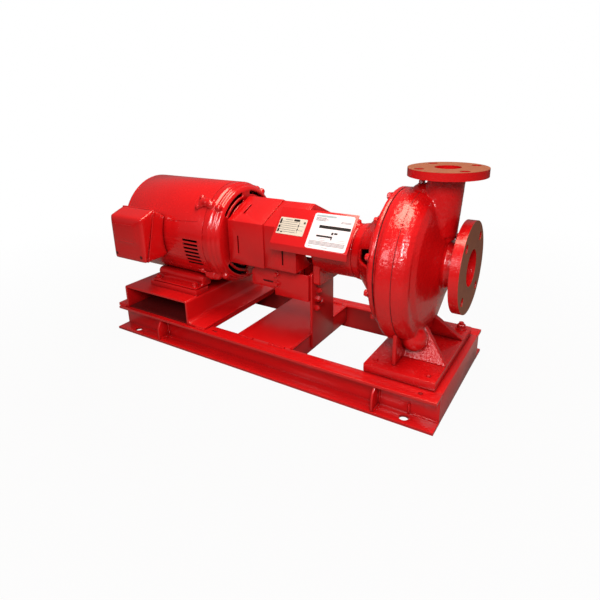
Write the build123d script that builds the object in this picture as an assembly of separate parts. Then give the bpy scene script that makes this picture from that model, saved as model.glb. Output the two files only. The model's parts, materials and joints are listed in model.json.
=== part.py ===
from build123d import *
import math
import os

os.makedirs("parts", exist_ok=True)

# All sizes are in millimetres. X runs along the shaft towards the suction flange,
# Y runs across the base and Z is up. The base stands on Z = 0 and is centred on X = 0, Y = 0.

# Base frame, folded steel rails joined by cross members
BASE_HEIGHT = 63.5
RAIL_PLATE = 6.0
RAIL_FOOT_HALF = 186.0
RAIL_TOP_HALF = 175.0
RAIL_WEB_HALF = 149.0
RAIL_LIP_HALF = 138.0
ANCHOR_FROM_END = 63.5
ANCHOR_SPACING_Y = 335.0
ANCHOR_RADIUS = 9.5
END_CHANNEL_FLANGE = 20.0
RAIL_HOLE_FROM_END = 37.0
RAIL_HOLE_RADIUS = 5.0
RAIL_SLOT_LENGTH = 18.0
RAIL_SLOT_WIDTH = 6.0
GUSSET_FROM_MOTOR_END = 159.5
GUSSET_FROM_PUMP_END = 125.5
GUSSET_PLATE = 5.0
MID_MEMBER_WIDTH = 155.0
MID_MEMBER_WEB = 46.0

# Pump wet end, counted back from the face of the suction flange
SHAFT_HEIGHT = 275.0
SUCTION_FLANGE_RADIUS = 95.25
SUCTION_FLANGE_PLATE = 19.0
SUCTION_BORE_RADIUS = 38.1
SUCTION_BOLT_CIRCLE = 152.4
DISCHARGE_FLANGE_RADIUS = 76.2
DISCHARGE_FLANGE_PLATE = 16.0
DISCHARGE_BORE_RADIUS = 25.4
DISCHARGE_BOLT_CIRCLE = 120.65
FLANGE_HOLE_RADIUS = 9.5
DISCHARGE_BACK = 61.0
DISCHARGE_RISE = 196.0
COVER_RADIUS = 150.0
COVER_PLATE = 11.0
COVER_BACK = 157.0
VOLUTE_RADIUS = 163.0
VOLUTE_DROP = 12.0
VOLUTE_WIDTH = 56.0
IMPELLER_RADIUS = 118.0
PUMP_SHAFT_RADIUS = 16.0
DECK_PLATE = 19.05
DECK_LENGTH = 150.0
DECK_LAP = 2.0
SADDLE_PLATE = 8.0
SADDLE_HALF_WIDTH = 118.0
SADDLE_BACK = 112.0
SADDLE_RIB_HALF = 72.0
SADDLE_RIB_PLATE = 14.0
SADDLE_RIB_REACH = 89.5
SADDLE_RIB_TOP_HALF = 32.0
SADDLE_RIB_TOP_REACH = 24.0
SADDLE_RIB_TOP_DROP = 122.0
DRAIN_BOSS_RADIUS = 25.0
PLUG_BOSS_RADIUS = 15.0
COVER_SPIGOT_RADIUS = 124.0
CHAMBER_RADIUS = 138.0
NECK_RADIUS = 47.0
SHAFT_HUB_RADIUS = 40.0

# Bearing frame and the post below it
BARREL_RADIUS = 61.5
BARREL_LENGTH = 100.0
ADAPTER_FLANGE_RADIUS = 135.0
ADAPTER_FLANGE_PLATE = 9.0
ADAPTER_LENGTH = 69.0
POST_HALF_WIDTH = 53.0
POST_PLATE = 6.0
POST_TOP_DROP = 57.0
POST_LAP = 36.0
POST_GAP = 1.0
POST_GUARD_GAP = 15.0
FRAME_FOOT_HALF = 50.0
FRAME_FOOT_PLATE = 18.0
FRAME_FOOT_DROP = 85.0
OIL_CUP_RADIUS = 9.0

# Coupling guard, sign plate and guard arms
GUARD_LENGTH = 190.0
GUARD_HALF_WIDTH = 90.0
GUARD_EAVE = 56.0
GUARD_RIDGE = 98.0
GUARD_SKIRT = 50.0
GUARD_FLANGE = 34.0
GUARD_LAP = 12.0
GUARD_MOTOR_GAP = 8.0
GUARD_SHAFT_HOLE = 47.0
GUARD_SHEET = 2.0
GUARD_SPLIT = 103.0
GUARD_SLOT_LENGTH = 44.0
GUARD_SLOT_WIDTH = 4.0
SIGN_SHEET = 2.5
SIGN_OVERLAP = 48.0
SIGN_LENGTH = 189.0
SIGN_LOWER_HALF = 119.0
SIGN_UPPER_HALF = 62.0
SIGN_LOWER_RISE = 28.0
SIGN_UPPER_RISE = 97.0
SIGN_LIP = 16.0
LABEL_SHEET = 0.6
STAY_RADIUS = 5.0
STAY_RISE = 21.0
STAY_LEFT_FROM_END = 34.0
STAY_RIGHT_FROM_END = 10.0
ARM_PLATE = 3.0
ARM_START = 41.0
ARM_LENGTH = 82.0
ARM_DROP = 110.0
ARM_SLOT_LENGTH = 30.0
ARM_SLOT_WIDTH = 5.0
BRACKET_LAP = 12.0
BRACKET_DROP = 125.0
BRACKET_HEIGHT = 65.0
BRACKET_WING = 27.0

# Motor and the raised stand below it
MOTOR_RADIUS = 129.5
MOTOR_SHEET = 4.0
MOTOR_FRAME_LENGTH = 268.0
MOTOR_SHAFT_DROP = 133.35
MOTOR_SHAFT_RADIUS = 17.5
FRONT_SHIELD_DEPTH = 43.5
REAR_SHIELD_DEPTH = 30.0
SHIELD_WALL = 6.0
FOOT_LENGTH = 168.0
FOOT_HALF_WIDTH = 124.0
FOOT_PLATE = 6.0
FOOT_ROLL_RADIUS = 11.0
FOOT_ROLL_HALF = 88.0
PAD_WIDTH = 46.0
STAND_WIDTH = 230.0
STAND_TOP = 128.0
STAND_PLATE = 6.0
STAND_HALF_DEPTH = 166.0
STAND_FLANGE_RIGHT = 56.0
STAND_FLANGE_LEFT = 36.0
STAND_OVERHANG = 11.0
STAND_SETBACK = 35.5
LOUVRE_COUNT = 7
LOUVRE_PITCH = 10.5
LOUVRE_LENGTH = 48.0
LOUVRE_HEIGHT = 4.0
BOX_WIDTH = 118.0
BOX_TOP = 77.0
BOX_BROW = 60.0
BOX_BOTTOM = 55.0
BOX_FRONT_HALF = 201.0
BOX_RIM_TOP = 48.0
BOX_RIM_LOW = 7.0
BOX_SEAT_HALF = 110.0
BOX_FROM_STAND = 21.0
BOX_STEP = 3.0
BAR_WIDTH = 50.0
BAR_PLATE = 9.0
HUB_RADIUS = 42.0
HUB_LENGTH = 36.0
INSERT_LENGTH = 24.0
SLIP_GAP = 0.25

# Places worked out from the sizes above, starting with the length of the whole line
BEARING_LENGTH = COVER_BACK + ADAPTER_FLANGE_PLATE + ADAPTER_LENGTH + BARREL_LENGTH + POST_GAP
COUPLING_LENGTH = POST_PLATE + POST_GUARD_GAP + GUARD_LENGTH + GUARD_MOTOR_GAP
MOTOR_LENGTH = FRONT_SHIELD_DEPTH + STAND_SETBACK + STAND_WIDTH + STAND_FLANGE_LEFT
BASE_LENGTH = BEARING_LENGTH + COUPLING_LENGTH + MOTOR_LENGTH - STAND_OVERHANG
ANCHOR_SPACING_X = BASE_LENGTH - 2 * ANCHOR_FROM_END
HALF_LENGTH = BASE_LENGTH / 2
SUCTION_X = HALF_LENGTH
GUSSET_LEFT_X = -HALF_LENGTH + GUSSET_FROM_MOTOR_END
GUSSET_RIGHT_X = HALF_LENGTH - GUSSET_FROM_PUMP_END
DECK_TOP = BASE_HEIGHT + DECK_PLATE
COVER_X0 = SUCTION_X - COVER_BACK
COVER_X1 = COVER_X0 + COVER_PLATE
ADAPTER_X0 = COVER_X0 - ADAPTER_FLANGE_PLATE - ADAPTER_LENGTH
BARREL_X0 = ADAPTER_X0 - BARREL_LENGTH
POST_X1 = BARREL_X0 - POST_GAP
POST_X0 = POST_X1 - POST_PLATE
MID_X1 = POST_X0
MID_X0 = MID_X1 - MID_MEMBER_WIDTH
GUARD_X1 = POST_X0 - POST_GUARD_GAP
GUARD_X0 = GUARD_X1 - GUARD_LENGTH
GUARD_MID = GUARD_X0 + GUARD_SPLIT
SHIELD_X1 = GUARD_X0 - GUARD_MOTOR_GAP
FRAME_X1 = SHIELD_X1 - FRONT_SHIELD_DEPTH
FRAME_X0 = FRAME_X1 - MOTOR_FRAME_LENGTH
STAND_X1 = FRAME_X1 - STAND_SETBACK
STAND_X0 = STAND_X1 - STAND_WIDTH
FOOT_X1 = STAND_X1 + 2.0
FOOT_X0 = FOOT_X1 - FOOT_LENGTH
MOTOR_FOOT_Z = SHAFT_HEIGHT - MOTOR_SHAFT_DROP
COUPLING_X0 = GUARD_X0 + 24.0
COUPLING_X1 = COUPLING_X0 + 2 * HUB_LENGTH + INSERT_LENGTH


def block(x0, x1, y0, y1, z0, z1):
    """Straight block between two corners."""
    size = Box(x1 - x0, y1 - y0, z1 - z0)
    return Pos((x0 + x1) / 2, (y0 + y1) / 2, (z0 + z1) / 2) * size


def rod_x(x0, x1, radius, y=0.0, z=SHAFT_HEIGHT):
    """Round bar along X."""
    return Pos((x0 + x1) / 2, y, z) * Rot(0, 90, 0) * Cylinder(radius, x1 - x0)


def rod_y(y0, y1, radius, x, z):
    """Round bar along Y."""
    return Pos(x, (y0 + y1) / 2, z) * Rot(90, 0, 0) * Cylinder(radius, y1 - y0)


def rod_z(z0, z1, radius, x, y):
    """Round bar along Z."""
    return Pos(x, y, (z0 + z1) / 2) * Cylinder(radius, z1 - z0)


def turned(points, z=SHAFT_HEIGHT):
    """Ring turned about the shaft line from (x, radius) corners."""
    face = make_face(Polyline(points, close=True))
    return Pos(0, 0, z) * revolve(Plane.XZ * face, axis=Axis.X)


def across(points, y0, y1):
    """Plate with (x, z) corners, running across the base from y0 to y1."""
    face = make_face(Polyline(points, close=True))
    return Pos(0, y1, 0) * extrude(Plane.XZ * face, amount=y1 - y0)


def along(points, x0, x1):
    """Plate with (y, z) corners, running along the base from x0 to x1."""
    face = make_face(Polyline(points, close=True))
    return Pos(x0, 0, 0) * extrude(Plane.YZ * face, amount=x1 - x0)


def ring_holes(solid, centre, circle, hole, count, along_x, depth):
    """Drill evenly spaced holes that straddle the centre line."""
    for number in range(count):
        turn = math.radians(360 / count * (number + 0.5))
        a = circle / 2 * math.cos(turn)
        b = circle / 2 * math.sin(turn)
        if along_x:
            drill = rod_x(centre[0] - depth, centre[0] + depth, hole, centre[1] + a, centre[2] + b)
        else:
            drill = rod_z(centre[2] - depth, centre[2] + depth, hole, centre[0] + a, centre[1] + b)
        solid = solid - drill
    return solid


def rail(side):
    """Folded rail with a wide foot, an upright web and a narrower top."""
    top = BASE_HEIGHT - RAIL_PLATE
    web_in = RAIL_WEB_HALF - RAIL_PLATE
    corners = [
        (RAIL_FOOT_HALF, 0),
        (RAIL_FOOT_HALF, RAIL_PLATE),
        (RAIL_WEB_HALF, RAIL_PLATE),
        (RAIL_WEB_HALF, top),
        (RAIL_TOP_HALF, top),
        (RAIL_TOP_HALF, BASE_HEIGHT),
        (RAIL_LIP_HALF, BASE_HEIGHT),
        (RAIL_LIP_HALF, top),
        (web_in, top),
        (web_in, 0),
    ]
    corners = [(side * y, z) for y, z in corners]
    solid = along(corners, -HALF_LENGTH, HALF_LENGTH)
    for x in (-ANCHOR_SPACING_X / 2, ANCHOR_SPACING_X / 2):
        solid -= rod_z(-1, RAIL_PLATE + 1, ANCHOR_RADIUS, x, side * ANCHOR_SPACING_Y / 2)
    y = side * (RAIL_TOP_HALF + RAIL_LIP_HALF) / 2
    solid -= rod_z(top - 1, BASE_HEIGHT + 1, RAIL_HOLE_RADIUS, HALF_LENGTH - RAIL_HOLE_FROM_END, y)
    x = STAND_X1 + STAND_FLANGE_RIGHT + 23.5
    length = RAIL_SLOT_LENGTH / 2
    width = RAIL_SLOT_WIDTH / 2
    return solid - block(x - length, x + length, y - width, y + width, top - 1, BASE_HEIGHT + 1)


def end_channel(side):
    """Channel that closes one end of the base between the rails."""
    outer = side * HALF_LENGTH
    inner = side * (HALF_LENGTH - RAIL_PLATE)
    edge = side * (HALF_LENGTH - END_CHANNEL_FLANGE)
    web_y = RAIL_WEB_HALF - RAIL_PLATE
    top = BASE_HEIGHT - RAIL_PLATE
    web = block(min(outer, inner), max(outer, inner), -web_y, web_y, 0, top)
    upper = block(min(outer, edge), max(outer, edge), -RAIL_LIP_HALF, RAIL_LIP_HALF, top, BASE_HEIGHT)
    lower = block(min(outer, edge), max(outer, edge), -web_y, web_y, 0, RAIL_PLATE)
    return web + upper + lower


def mid_member():
    """Inverted channel between the rails that carries the bearing post."""
    web_y = RAIL_WEB_HALF - RAIL_PLATE
    top = BASE_HEIGHT - RAIL_PLATE
    low = BASE_HEIGHT - MID_MEMBER_WEB
    plate = block(MID_X0, MID_X1, -RAIL_LIP_HALF, RAIL_LIP_HALF, top, BASE_HEIGHT)
    left = block(MID_X0, MID_X0 + RAIL_PLATE, -web_y, web_y, low, top)
    right = block(MID_X1 - RAIL_PLATE, MID_X1, -web_y, web_y, low, top)
    return plate + left + right


def stand_bar():
    """Flat bar between the rails under the right foot of the motor stand."""
    x1 = STAND_X1 + STAND_FLANGE_RIGHT
    return block(x1 - BAR_WIDTH, x1, -RAIL_LIP_HALF, RAIL_LIP_HALF, BASE_HEIGHT - BAR_PLATE, BASE_HEIGHT)


def gusset(x, side):
    """Half-round stiffener between the foot and the top of a rail."""
    top = BASE_HEIGHT - RAIL_PLATE
    shape = [
        (side * RAIL_WEB_HALF, RAIL_PLATE),
        (side * (RAIL_FOOT_HALF - 2), RAIL_PLATE),
        (side * (RAIL_FOOT_HALF - 2), top - 24),
        (side * (RAIL_FOOT_HALF - 8), top - 9),
        (side * (RAIL_TOP_HALF - 6), top),
        (side * RAIL_WEB_HALF, top),
    ]
    return along(shape, x - GUSSET_PLATE / 2, x + GUSSET_PLATE / 2)


def deck():
    """Thick plate on the rails under the pump casing."""
    x1 = HALF_LENGTH - END_CHANNEL_FLANGE + 5
    half = RAIL_LIP_HALF + DECK_LAP
    return block(x1 - DECK_LENGTH, x1, -half, half, BASE_HEIGHT, DECK_TOP)


def motor_stand():
    """Folded stand that lifts the motor to the shaft line."""
    left = STAND_X0 - STAND_FLANGE_LEFT
    right = STAND_X1 + STAND_FLANGE_RIGHT
    low = BASE_HEIGHT
    points = [
        (left, low),
        (STAND_X0 + STAND_PLATE, low),
        (STAND_X0 + STAND_PLATE, STAND_TOP - STAND_PLATE),
        (STAND_X1 - STAND_PLATE, STAND_TOP - STAND_PLATE),
        (STAND_X1 - STAND_PLATE, low),
        (right, low),
        (right, low + STAND_PLATE),
        (STAND_X1, low + STAND_PLATE),
        (STAND_X1, STAND_TOP),
        (STAND_X0, STAND_TOP),
        (STAND_X0, low + STAND_PLATE),
        (left, low + STAND_PLATE),
    ]
    solid = across(points, -STAND_HALF_DEPTH, STAND_HALF_DEPTH)
    long_edges = solid.edges().filter_by(Axis.Y)
    outer = [e for e in long_edges if e.center().Z > STAND_TOP - 1]
    solid = fillet(outer, 7.0)
    long_edges = solid.edges().filter_by(Axis.Y)
    roots = [e for e in long_edges if abs(e.center().Z - low - STAND_PLATE) < 1]
    roots = [e for e in roots if STAND_X0 - 1 < e.center().X < STAND_X1 + 1]
    return fillet(roots, 12.0)


def motor_pad(side):
    """Flat bar between the stand and one motor foot."""
    y0 = side * (FOOT_HALF_WIDTH + 2 - PAD_WIDTH)
    y1 = side * (FOOT_HALF_WIDTH + 2)
    x0 = FOOT_X0 - 4
    return block(x0, STAND_X1 - 2, min(y0, y1), max(y0, y1), STAND_TOP, MOTOR_FOOT_Z)


def motor_foot(side):
    """Pressed foot with a rolled rib that follows the round frame."""
    low = MOTOR_FOOT_Z
    x1 = STAND_X1 - 4
    inner = FOOT_HALF_WIDTH - 60
    roll = FOOT_ROLL_HALF
    roll_z = low + FOOT_PLATE + FOOT_ROLL_RADIUS + 2
    plate = [(FOOT_HALF_WIDTH, low), (FOOT_HALF_WIDTH, low + FOOT_PLATE), (inner, low + FOOT_PLATE), (inner, low)]
    web = [
        (roll + FOOT_ROLL_RADIUS - 1, low),
        (roll + FOOT_ROLL_RADIUS - 1, roll_z),
        (roll, roll_z + FOOT_ROLL_RADIUS - 0.5),
        (inner, roll_z + FOOT_ROLL_RADIUS + 8),
        (inner, low),
    ]
    solid = along([(side * y, z) for y, z in plate], FOOT_X0, x1)
    solid += along([(side * y, z) for y, z in web], FOOT_X0 + 4, x1)
    solid += rod_x(FOOT_X0 + 2, x1 + 2, FOOT_ROLL_RADIUS, side * roll, roll_z)
    return solid - rod_x(FOOT_X0 - 1, FOOT_X1 + 1, MOTOR_RADIUS)


def motor_frame():
    """Rolled motor shell with air slots low on both sides."""
    solid = rod_x(FRAME_X0, FRAME_X1, MOTOR_RADIUS)
    solid -= rod_x(FRAME_X0 - 1, FRAME_X1 + 1, MOTOR_RADIUS - MOTOR_SHEET)
    slot_x = STAND_X1 - 30
    for number in range(LOUVRE_COUNT):
        z = SHAFT_HEIGHT + 1 - number * LOUVRE_PITCH
        x0 = slot_x
        x1 = slot_x + LOUVRE_LENGTH
        low = z - LOUVRE_HEIGHT / 2
        solid -= block(x0, x1, -MOTOR_RADIUS - 2, -70, low, low + LOUVRE_HEIGHT)
        solid -= block(x0, x1, 70, MOTOR_RADIUS + 2, low, low + LOUVRE_HEIGHT)
    return solid


def arc_slot(x0, x1, radius, width, start, sweep):
    """Curved air slot for the motor shields, angles in degrees from +Y."""
    outer = [polar(radius + width / 2, start + sweep * k / 8) for k in range(9)]
    inner = [polar(radius - width / 2, start + sweep * k / 8) for k in range(8, -1, -1)]
    return Pos(0, 0, SHAFT_HEIGHT) * along(outer + inner, x0, x1)


def polar(radius, degrees):
    """Point on a circle in the plane across the shaft."""
    turn = math.radians(degrees)
    return (radius * math.cos(turn), radius * math.sin(turn))


def front_shield():
    """Drive end shield with three rows of curved air slots and four bolt ears."""
    x0 = FRAME_X1
    x1 = SHIELD_X1
    r = MOTOR_RADIUS
    bore = MOTOR_SHAFT_RADIUS + SLIP_GAP
    points = [
        (x0, r),
        (x0 + 18, r),
        (x0 + 22, r - 4),
        (x0 + 28, r - 4),
        (x0 + 32, r - 9),
        (x0 + 38, r - 10),
        (x1 - 2, r - 14),
        (x1, r - 18),
        (x1, 46),
        (x1 + 6, 42),
        (x1 + 6, bore),
        (x1 - 20, bore),
        (x1 - 20, 42),
        (x1 - SHIELD_WALL, 46),
        (x1 - SHIELD_WALL, r - 21),
        (x0 + 18, r - SHIELD_WALL),
        (x0, r - SHIELD_WALL),
    ]
    solid = turned(points)
    for ring in (0, 1, 2):
        radius = r - 25 - 16 * ring
        for start in (98, 36, 278, 216):
            solid -= arc_slot(x1 - 10, x1 + 1, radius, 8.5, start, 46)
    for quarter in range(4):
        y, z = polar(r + 1, 45 + 90 * quarter)
        ear = rod_x(x0 - 22, x0 + 8, 12, y, SHAFT_HEIGHT + z)
        ear -= rod_x(x0 - 30, x0, r)
        ear -= rod_x(x0 - 1, x0 + 10, r - SHIELD_WALL)
        solid += ear
    return solid


def rear_shield():
    """Plain shield that closes the far end of the motor."""
    x1 = FRAME_X0
    x0 = x1 - REAR_SHIELD_DEPTH
    r = MOTOR_RADIUS
    bore = MOTOR_SHAFT_RADIUS + SLIP_GAP
    points = [
        (x1, r),
        (x1 - 6, r),
        (x1 - 15, r - 6),
        (x1 - 23, r - 18),
        (x0, r - 38),
        (x0, 0),
        (x0 + 6, 0),
        (x0 + 6, 36),
        (x0 + 22, 36),
        (x0 + 22, bore),
        (x0 + 26, bore),
        (x0 + 26, 40),
        (x0 + 6, 42),
        (x0 + 6, r - 42),
        (x1 - 18, r - 18),
        (x1 - 8, r - SHIELD_WALL - 2),
        (x1, r - SHIELD_WALL),
    ]
    solid = turned(points)
    for ring in (0, 1, 2):
        radius = r - 48 - 13 * ring
        for start in (98, 36, 278, 216):
            solid -= arc_slot(x0 - 1, x0 + 10, radius, 7.5, start, 46)
    return solid


def box_corners():
    """Corner heights and depths of the terminal box, seen from the end."""
    top = SHAFT_HEIGHT + BOX_TOP
    brow = SHAFT_HEIGHT + BOX_BROW
    low = SHAFT_HEIGHT - BOX_BOTTOM
    return top, brow, low


def terminal_base():
    """Back half of the terminal box, shaped to sit on the motor shell."""
    top, brow, low = box_corners()
    x0 = STAND_X0 + BOX_FROM_STAND
    rim_top = -BOX_FRONT_HALF + BOX_RIM_TOP
    rim_low = -BOX_FRONT_HALF + BOX_RIM_LOW + 2
    points = [
        (rim_top, top - 4),
        (-BOX_SEAT_HALF, brow - 14),
        (-BOX_SEAT_HALF, low + 10),
        (rim_low + 54, low + 3),
        (rim_low, low + 3),
    ]
    solid = along(points, x0 + BOX_STEP, x0 + BOX_WIDTH - BOX_STEP)
    solid = solid - rod_x(FRAME_X0, FRAME_X1, MOTOR_RADIUS)
    return solid


def terminal_cover():
    """Front half of the terminal box with a slanted rim and a raised panel."""
    top, brow, low = box_corners()
    x0 = STAND_X0 + BOX_FROM_STAND
    x1 = x0 + BOX_WIDTH
    rim_top = -BOX_FRONT_HALF + BOX_RIM_TOP
    rim_low = -BOX_FRONT_HALF + BOX_RIM_LOW
    points = [
        (rim_top, top),
        (rim_top, top - 4),
        (rim_low + 2, low + 3),
        (rim_low, low),
        (-BOX_FRONT_HALF, low),
        (-BOX_FRONT_HALF, brow),
    ]
    solid = along(points, x0, x1)
    front = [e for e in solid.edges() if e.center().Y < -BOX_FRONT_HALF + 1]
    solid = fillet(front, 6.0)
    y = -BOX_FRONT_HALF
    panel = block(x0 + 16, x1 - 22, y - 2, y, brow - 62, brow - 16)
    return solid + panel


def motor_shaft():
    """Motor shaft from the rear shield to the coupling."""
    return rod_x(FRAME_X0 - 7, COUPLING_X0 + HUB_LENGTH, MOTOR_SHAFT_RADIUS)


def pump_shaft():
    """Pump shaft from the coupling to the impeller."""
    x0 = COUPLING_X1 - HUB_LENGTH
    return rod_x(x0, COVER_X1 + 34, PUMP_SHAFT_RADIUS)


def coupling_hub(at_motor):
    """One toothed hub of the flexible coupling."""
    if at_motor:
        x0 = COUPLING_X0
        bore = MOTOR_SHAFT_RADIUS
    else:
        x0 = COUPLING_X1 - HUB_LENGTH
        bore = PUMP_SHAFT_RADIUS
    x1 = x0 + HUB_LENGTH
    return turned([(x0, bore), (x0, HUB_RADIUS), (x1, HUB_RADIUS), (x1, bore)])


def coupling_insert():
    """Rubber sleeve between the hubs."""
    x0 = COUPLING_X0 + HUB_LENGTH
    x1 = x0 + INSERT_LENGTH
    r = HUB_RADIUS + 3
    return turned([(x0, 20), (x0, r), (x1, r), (x1, 20)])


def guard_outline(inset):
    """Outer corners of the guard seen from the end."""
    slope = (GUARD_RIDGE - GUARD_EAVE) / GUARD_HALF_WIDTH
    slant = math.hypot(1, slope)
    h = GUARD_HALF_WIDTH - inset
    low = SHAFT_HEIGHT - GUARD_SKIRT
    eave = SHAFT_HEIGHT + GUARD_EAVE - inset * (slant - slope)
    ridge = SHAFT_HEIGHT + GUARD_RIDGE - inset * slant
    return [(-h, low), (-h, eave), (0, ridge), (h, eave), (h, low)]


def guard_half(x0, x1, inset, end_plate):
    """Folded sheet cover over the coupling, open below."""
    outer = along(guard_outline(inset), x0, x1)
    wall = inset + GUARD_SHEET
    hollow = along(guard_outline(wall), x0 - 1, x1 + 1)
    solid = outer - hollow
    low = SHAFT_HEIGHT - GUARD_SKIRT + inset
    h = GUARD_HALF_WIDTH - wall
    if inset > 0:
        solid -= block(x0 - 1, x1 + 1, -GUARD_HALF_WIDTH, GUARD_HALF_WIDTH, low - inset - 1, low)
    for side in (-1, 1):
        y0 = side * h
        y1 = side * (h - GUARD_FLANGE)
        solid += block(x0, x1, min(y0, y1), max(y0, y1), low, low + GUARD_SHEET)
    if end_plate:
        disc = along(guard_outline(wall), x1 - GUARD_SHEET, x1)
        disc -= block(x1 - 5, x1 + 5, -GUARD_HALF_WIDTH, GUARD_HALF_WIDTH, low - inset - 1, low)
        solid += disc - rod_x(x1 - 10, x1 + 10, GUARD_SHAFT_HOLE)
    return solid


def side_slot(x, low, high):
    """Upright slot cut through both sides of the guard."""
    w = GUARD_SLOT_WIDTH / 2
    h = GUARD_HALF_WIDTH + 2
    return block(x - w, x + w, -h, -h + 8, low, high) + block(x - w, x + w, h - 8, h, low, high)


def guard_motor_half():
    """Guard half next to the motor."""
    solid = guard_half(GUARD_X0, GUARD_MID, 0.0, False)
    z = SHAFT_HEIGHT
    x = GUARD_X0 + 28
    solid -= side_slot(x, z - 24, z - 24 + GUARD_SLOT_LENGTH)
    w = GUARD_SLOT_WIDTH / 2
    solid -= block(x - w, x + w, -62, -28, z + 60, z + 95)
    solid -= block(x - w, x + w, 28, 62, z + 60, z + 95)
    return solid


def guard_pump_half():
    """Guard half next to the pump, nested under the other one."""
    solid = guard_half(GUARD_MID - GUARD_LAP, GUARD_X1, GUARD_SHEET, True)
    z = SHAFT_HEIGHT
    solid -= side_slot(GUARD_X1 - 36, z - 34, z - 34 + GUARD_SLOT_LENGTH)
    return solid


def arm_plane():
    """Depth of the inner face of the guard arm, under the guard's bottom flange."""
    return -GUARD_HALF_WIDTH + 2 * GUARD_SHEET + GUARD_FLANGE - 2


def guard_arm():
    """Slotted strip that holds the guard from below."""
    z = SHAFT_HEIGHT
    y1 = arm_plane()
    y0 = y1 - ARM_PLATE
    x0 = GUARD_X0 + ARM_START
    x1 = x0 + ARM_LENGTH
    top = z - GUARD_SKIRT
    low = z - ARM_DROP
    points = [(x0, low), (x1, low), (x1, top), (x0 + 24, top), (x0, low + 36)]
    solid = across(points, y0, y1)
    slot_x = x0 + 33
    slot_z = low + 13
    cut = block(slot_x, slot_x + ARM_SLOT_LENGTH, y0 - 1, y1 + 1, slot_z, slot_z + ARM_SLOT_WIDTH)
    return solid - cut


def arm_bracket():
    """Bent bracket that ties the guard arm to the post."""
    y1 = arm_plane() - ARM_PLATE
    y0 = y1 - ARM_PLATE
    x0 = GUARD_X0 + ARM_START + ARM_LENGTH - BRACKET_LAP
    low = SHAFT_HEIGHT - BRACKET_DROP
    high = low + BRACKET_HEIGHT
    plate = block(x0, POST_X0, y0, y1, low, high)
    wing = block(POST_X0 - ARM_PLATE, POST_X0, y1, y1 + BRACKET_WING, low, high)
    return plate + wing


def post():
    """Upright plate that carries the outer end of the bearing frame."""
    z0 = BASE_HEIGHT - POST_LAP
    z1 = SHAFT_HEIGHT - POST_TOP_DROP
    half = POST_HALF_WIDTH
    solid = block(POST_X0, POST_X1, -half, half, z0, z1)
    corners = solid.edges().filter_by(Axis.X)
    corners = [e for e in corners if e.center().Z > z1 - 1]
    return fillet(corners, 8.0)


def bearing_frame():
    """Turned barrel with a lug that bolts to the post."""
    x0 = BARREL_X0
    x1 = ADAPTER_X0
    r = BARREL_RADIUS
    bore = PUMP_SHAFT_RADIUS + 6
    points = [
        (x0, bore),
        (x0, r - 2),
        (x0 + 2, r),
        (x1, r),
        (x1, bore),
    ]
    solid = turned(points)
    half = FRAME_FOOT_HALF
    foot = [
        (-half, SHAFT_HEIGHT - FRAME_FOOT_DROP),
        (half, SHAFT_HEIGHT - FRAME_FOOT_DROP),
        (half, SHAFT_HEIGHT - 26),
        (-half, SHAFT_HEIGHT - 26),
    ]
    lug = along(foot, POST_X1, POST_X1 + FRAME_FOOT_PLATE)
    corners = lug.edges().filter_by(Axis.X)
    lug = fillet([e for e in corners if e.center().Z < SHAFT_HEIGHT - 50], 8.0)
    lug -= rod_x(POST_X1 - 1, x0, r + 1)
    solid += lug - rod_x(x0 - 1, x1, r - 4)
    top = SHAFT_HEIGHT + r
    cup = rod_z(top - 6, top + 9, OIL_CUP_RADIUS, x1 - OIL_CUP_RADIUS - 5, 0)
    return solid + cup


def bearing_cap():
    """Cap that holds the outer bearing."""
    x0 = BARREL_X0 - 12
    x1 = BARREL_X0
    bore = PUMP_SHAFT_RADIUS + SLIP_GAP
    points = [(x0, bore), (x0, 38), (x0 + 5, 45), (x1, 45), (x1, bore)]
    return turned(points)


def adapter():
    """Open bell between the bearing barrel and the casing cover."""
    x0 = ADAPTER_X0
    x1 = x0 + ADAPTER_LENGTH
    x2 = x1 + ADAPTER_FLANGE_PLATE
    r = BARREL_RADIUS
    big = ADAPTER_FLANGE_RADIUS
    points = [
        (x0, r - 14),
        (x0, r + 1),
        (x0 + 18, r + 4),
        (x1, big - 16),
        (x1, big),
        (x2, big),
        (x2, big - 28),
        (x1 - 2, big - 28),
        (x0 + 20, r - 6),
        (x0 + 20, r - 14),
    ]
    solid = turned(points)
    for start in (158, 2):
        solid -= arc_slot(x0 + 26, x1 - 4, 90, 70, start, 20)
    return solid


def casing_cover():
    """Round plate that closes the back of the casing."""
    x0 = COVER_X0
    x1 = COVER_X1
    bore = PUMP_SHAFT_RADIUS + SLIP_GAP
    points = [
        (x0 - 24, bore),
        (x0 - 24, SHAFT_HUB_RADIUS),
        (x0, SHAFT_HUB_RADIUS + 4),
        (x0, COVER_RADIUS),
        (x1, COVER_RADIUS),
        (x1, COVER_SPIGOT_RADIUS),
        (x1 + 5, COVER_SPIGOT_RADIUS),
        (x1 + 5, SHAFT_HUB_RADIUS + 4),
        (x1 + 10, SHAFT_HUB_RADIUS),
        (x1 + 10, bore),
    ]
    return turned(points)


def impeller():
    """Closed impeller on the end of the pump shaft."""
    x0 = COVER_X1 + 12
    x1 = x0 + 30
    bore = PUMP_SHAFT_RADIUS
    points = [
        (x0, bore),
        (x0, IMPELLER_RADIUS),
        (x0 + 20, IMPELLER_RADIUS),
        (x1, 70),
        (x1 + 6, 44),
        (x1 + 12, 44),
        (x1 + 12, 36),
        (x0 + 8, 36),
        (x0 + 8, bore),
    ]
    return turned(points)


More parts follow.
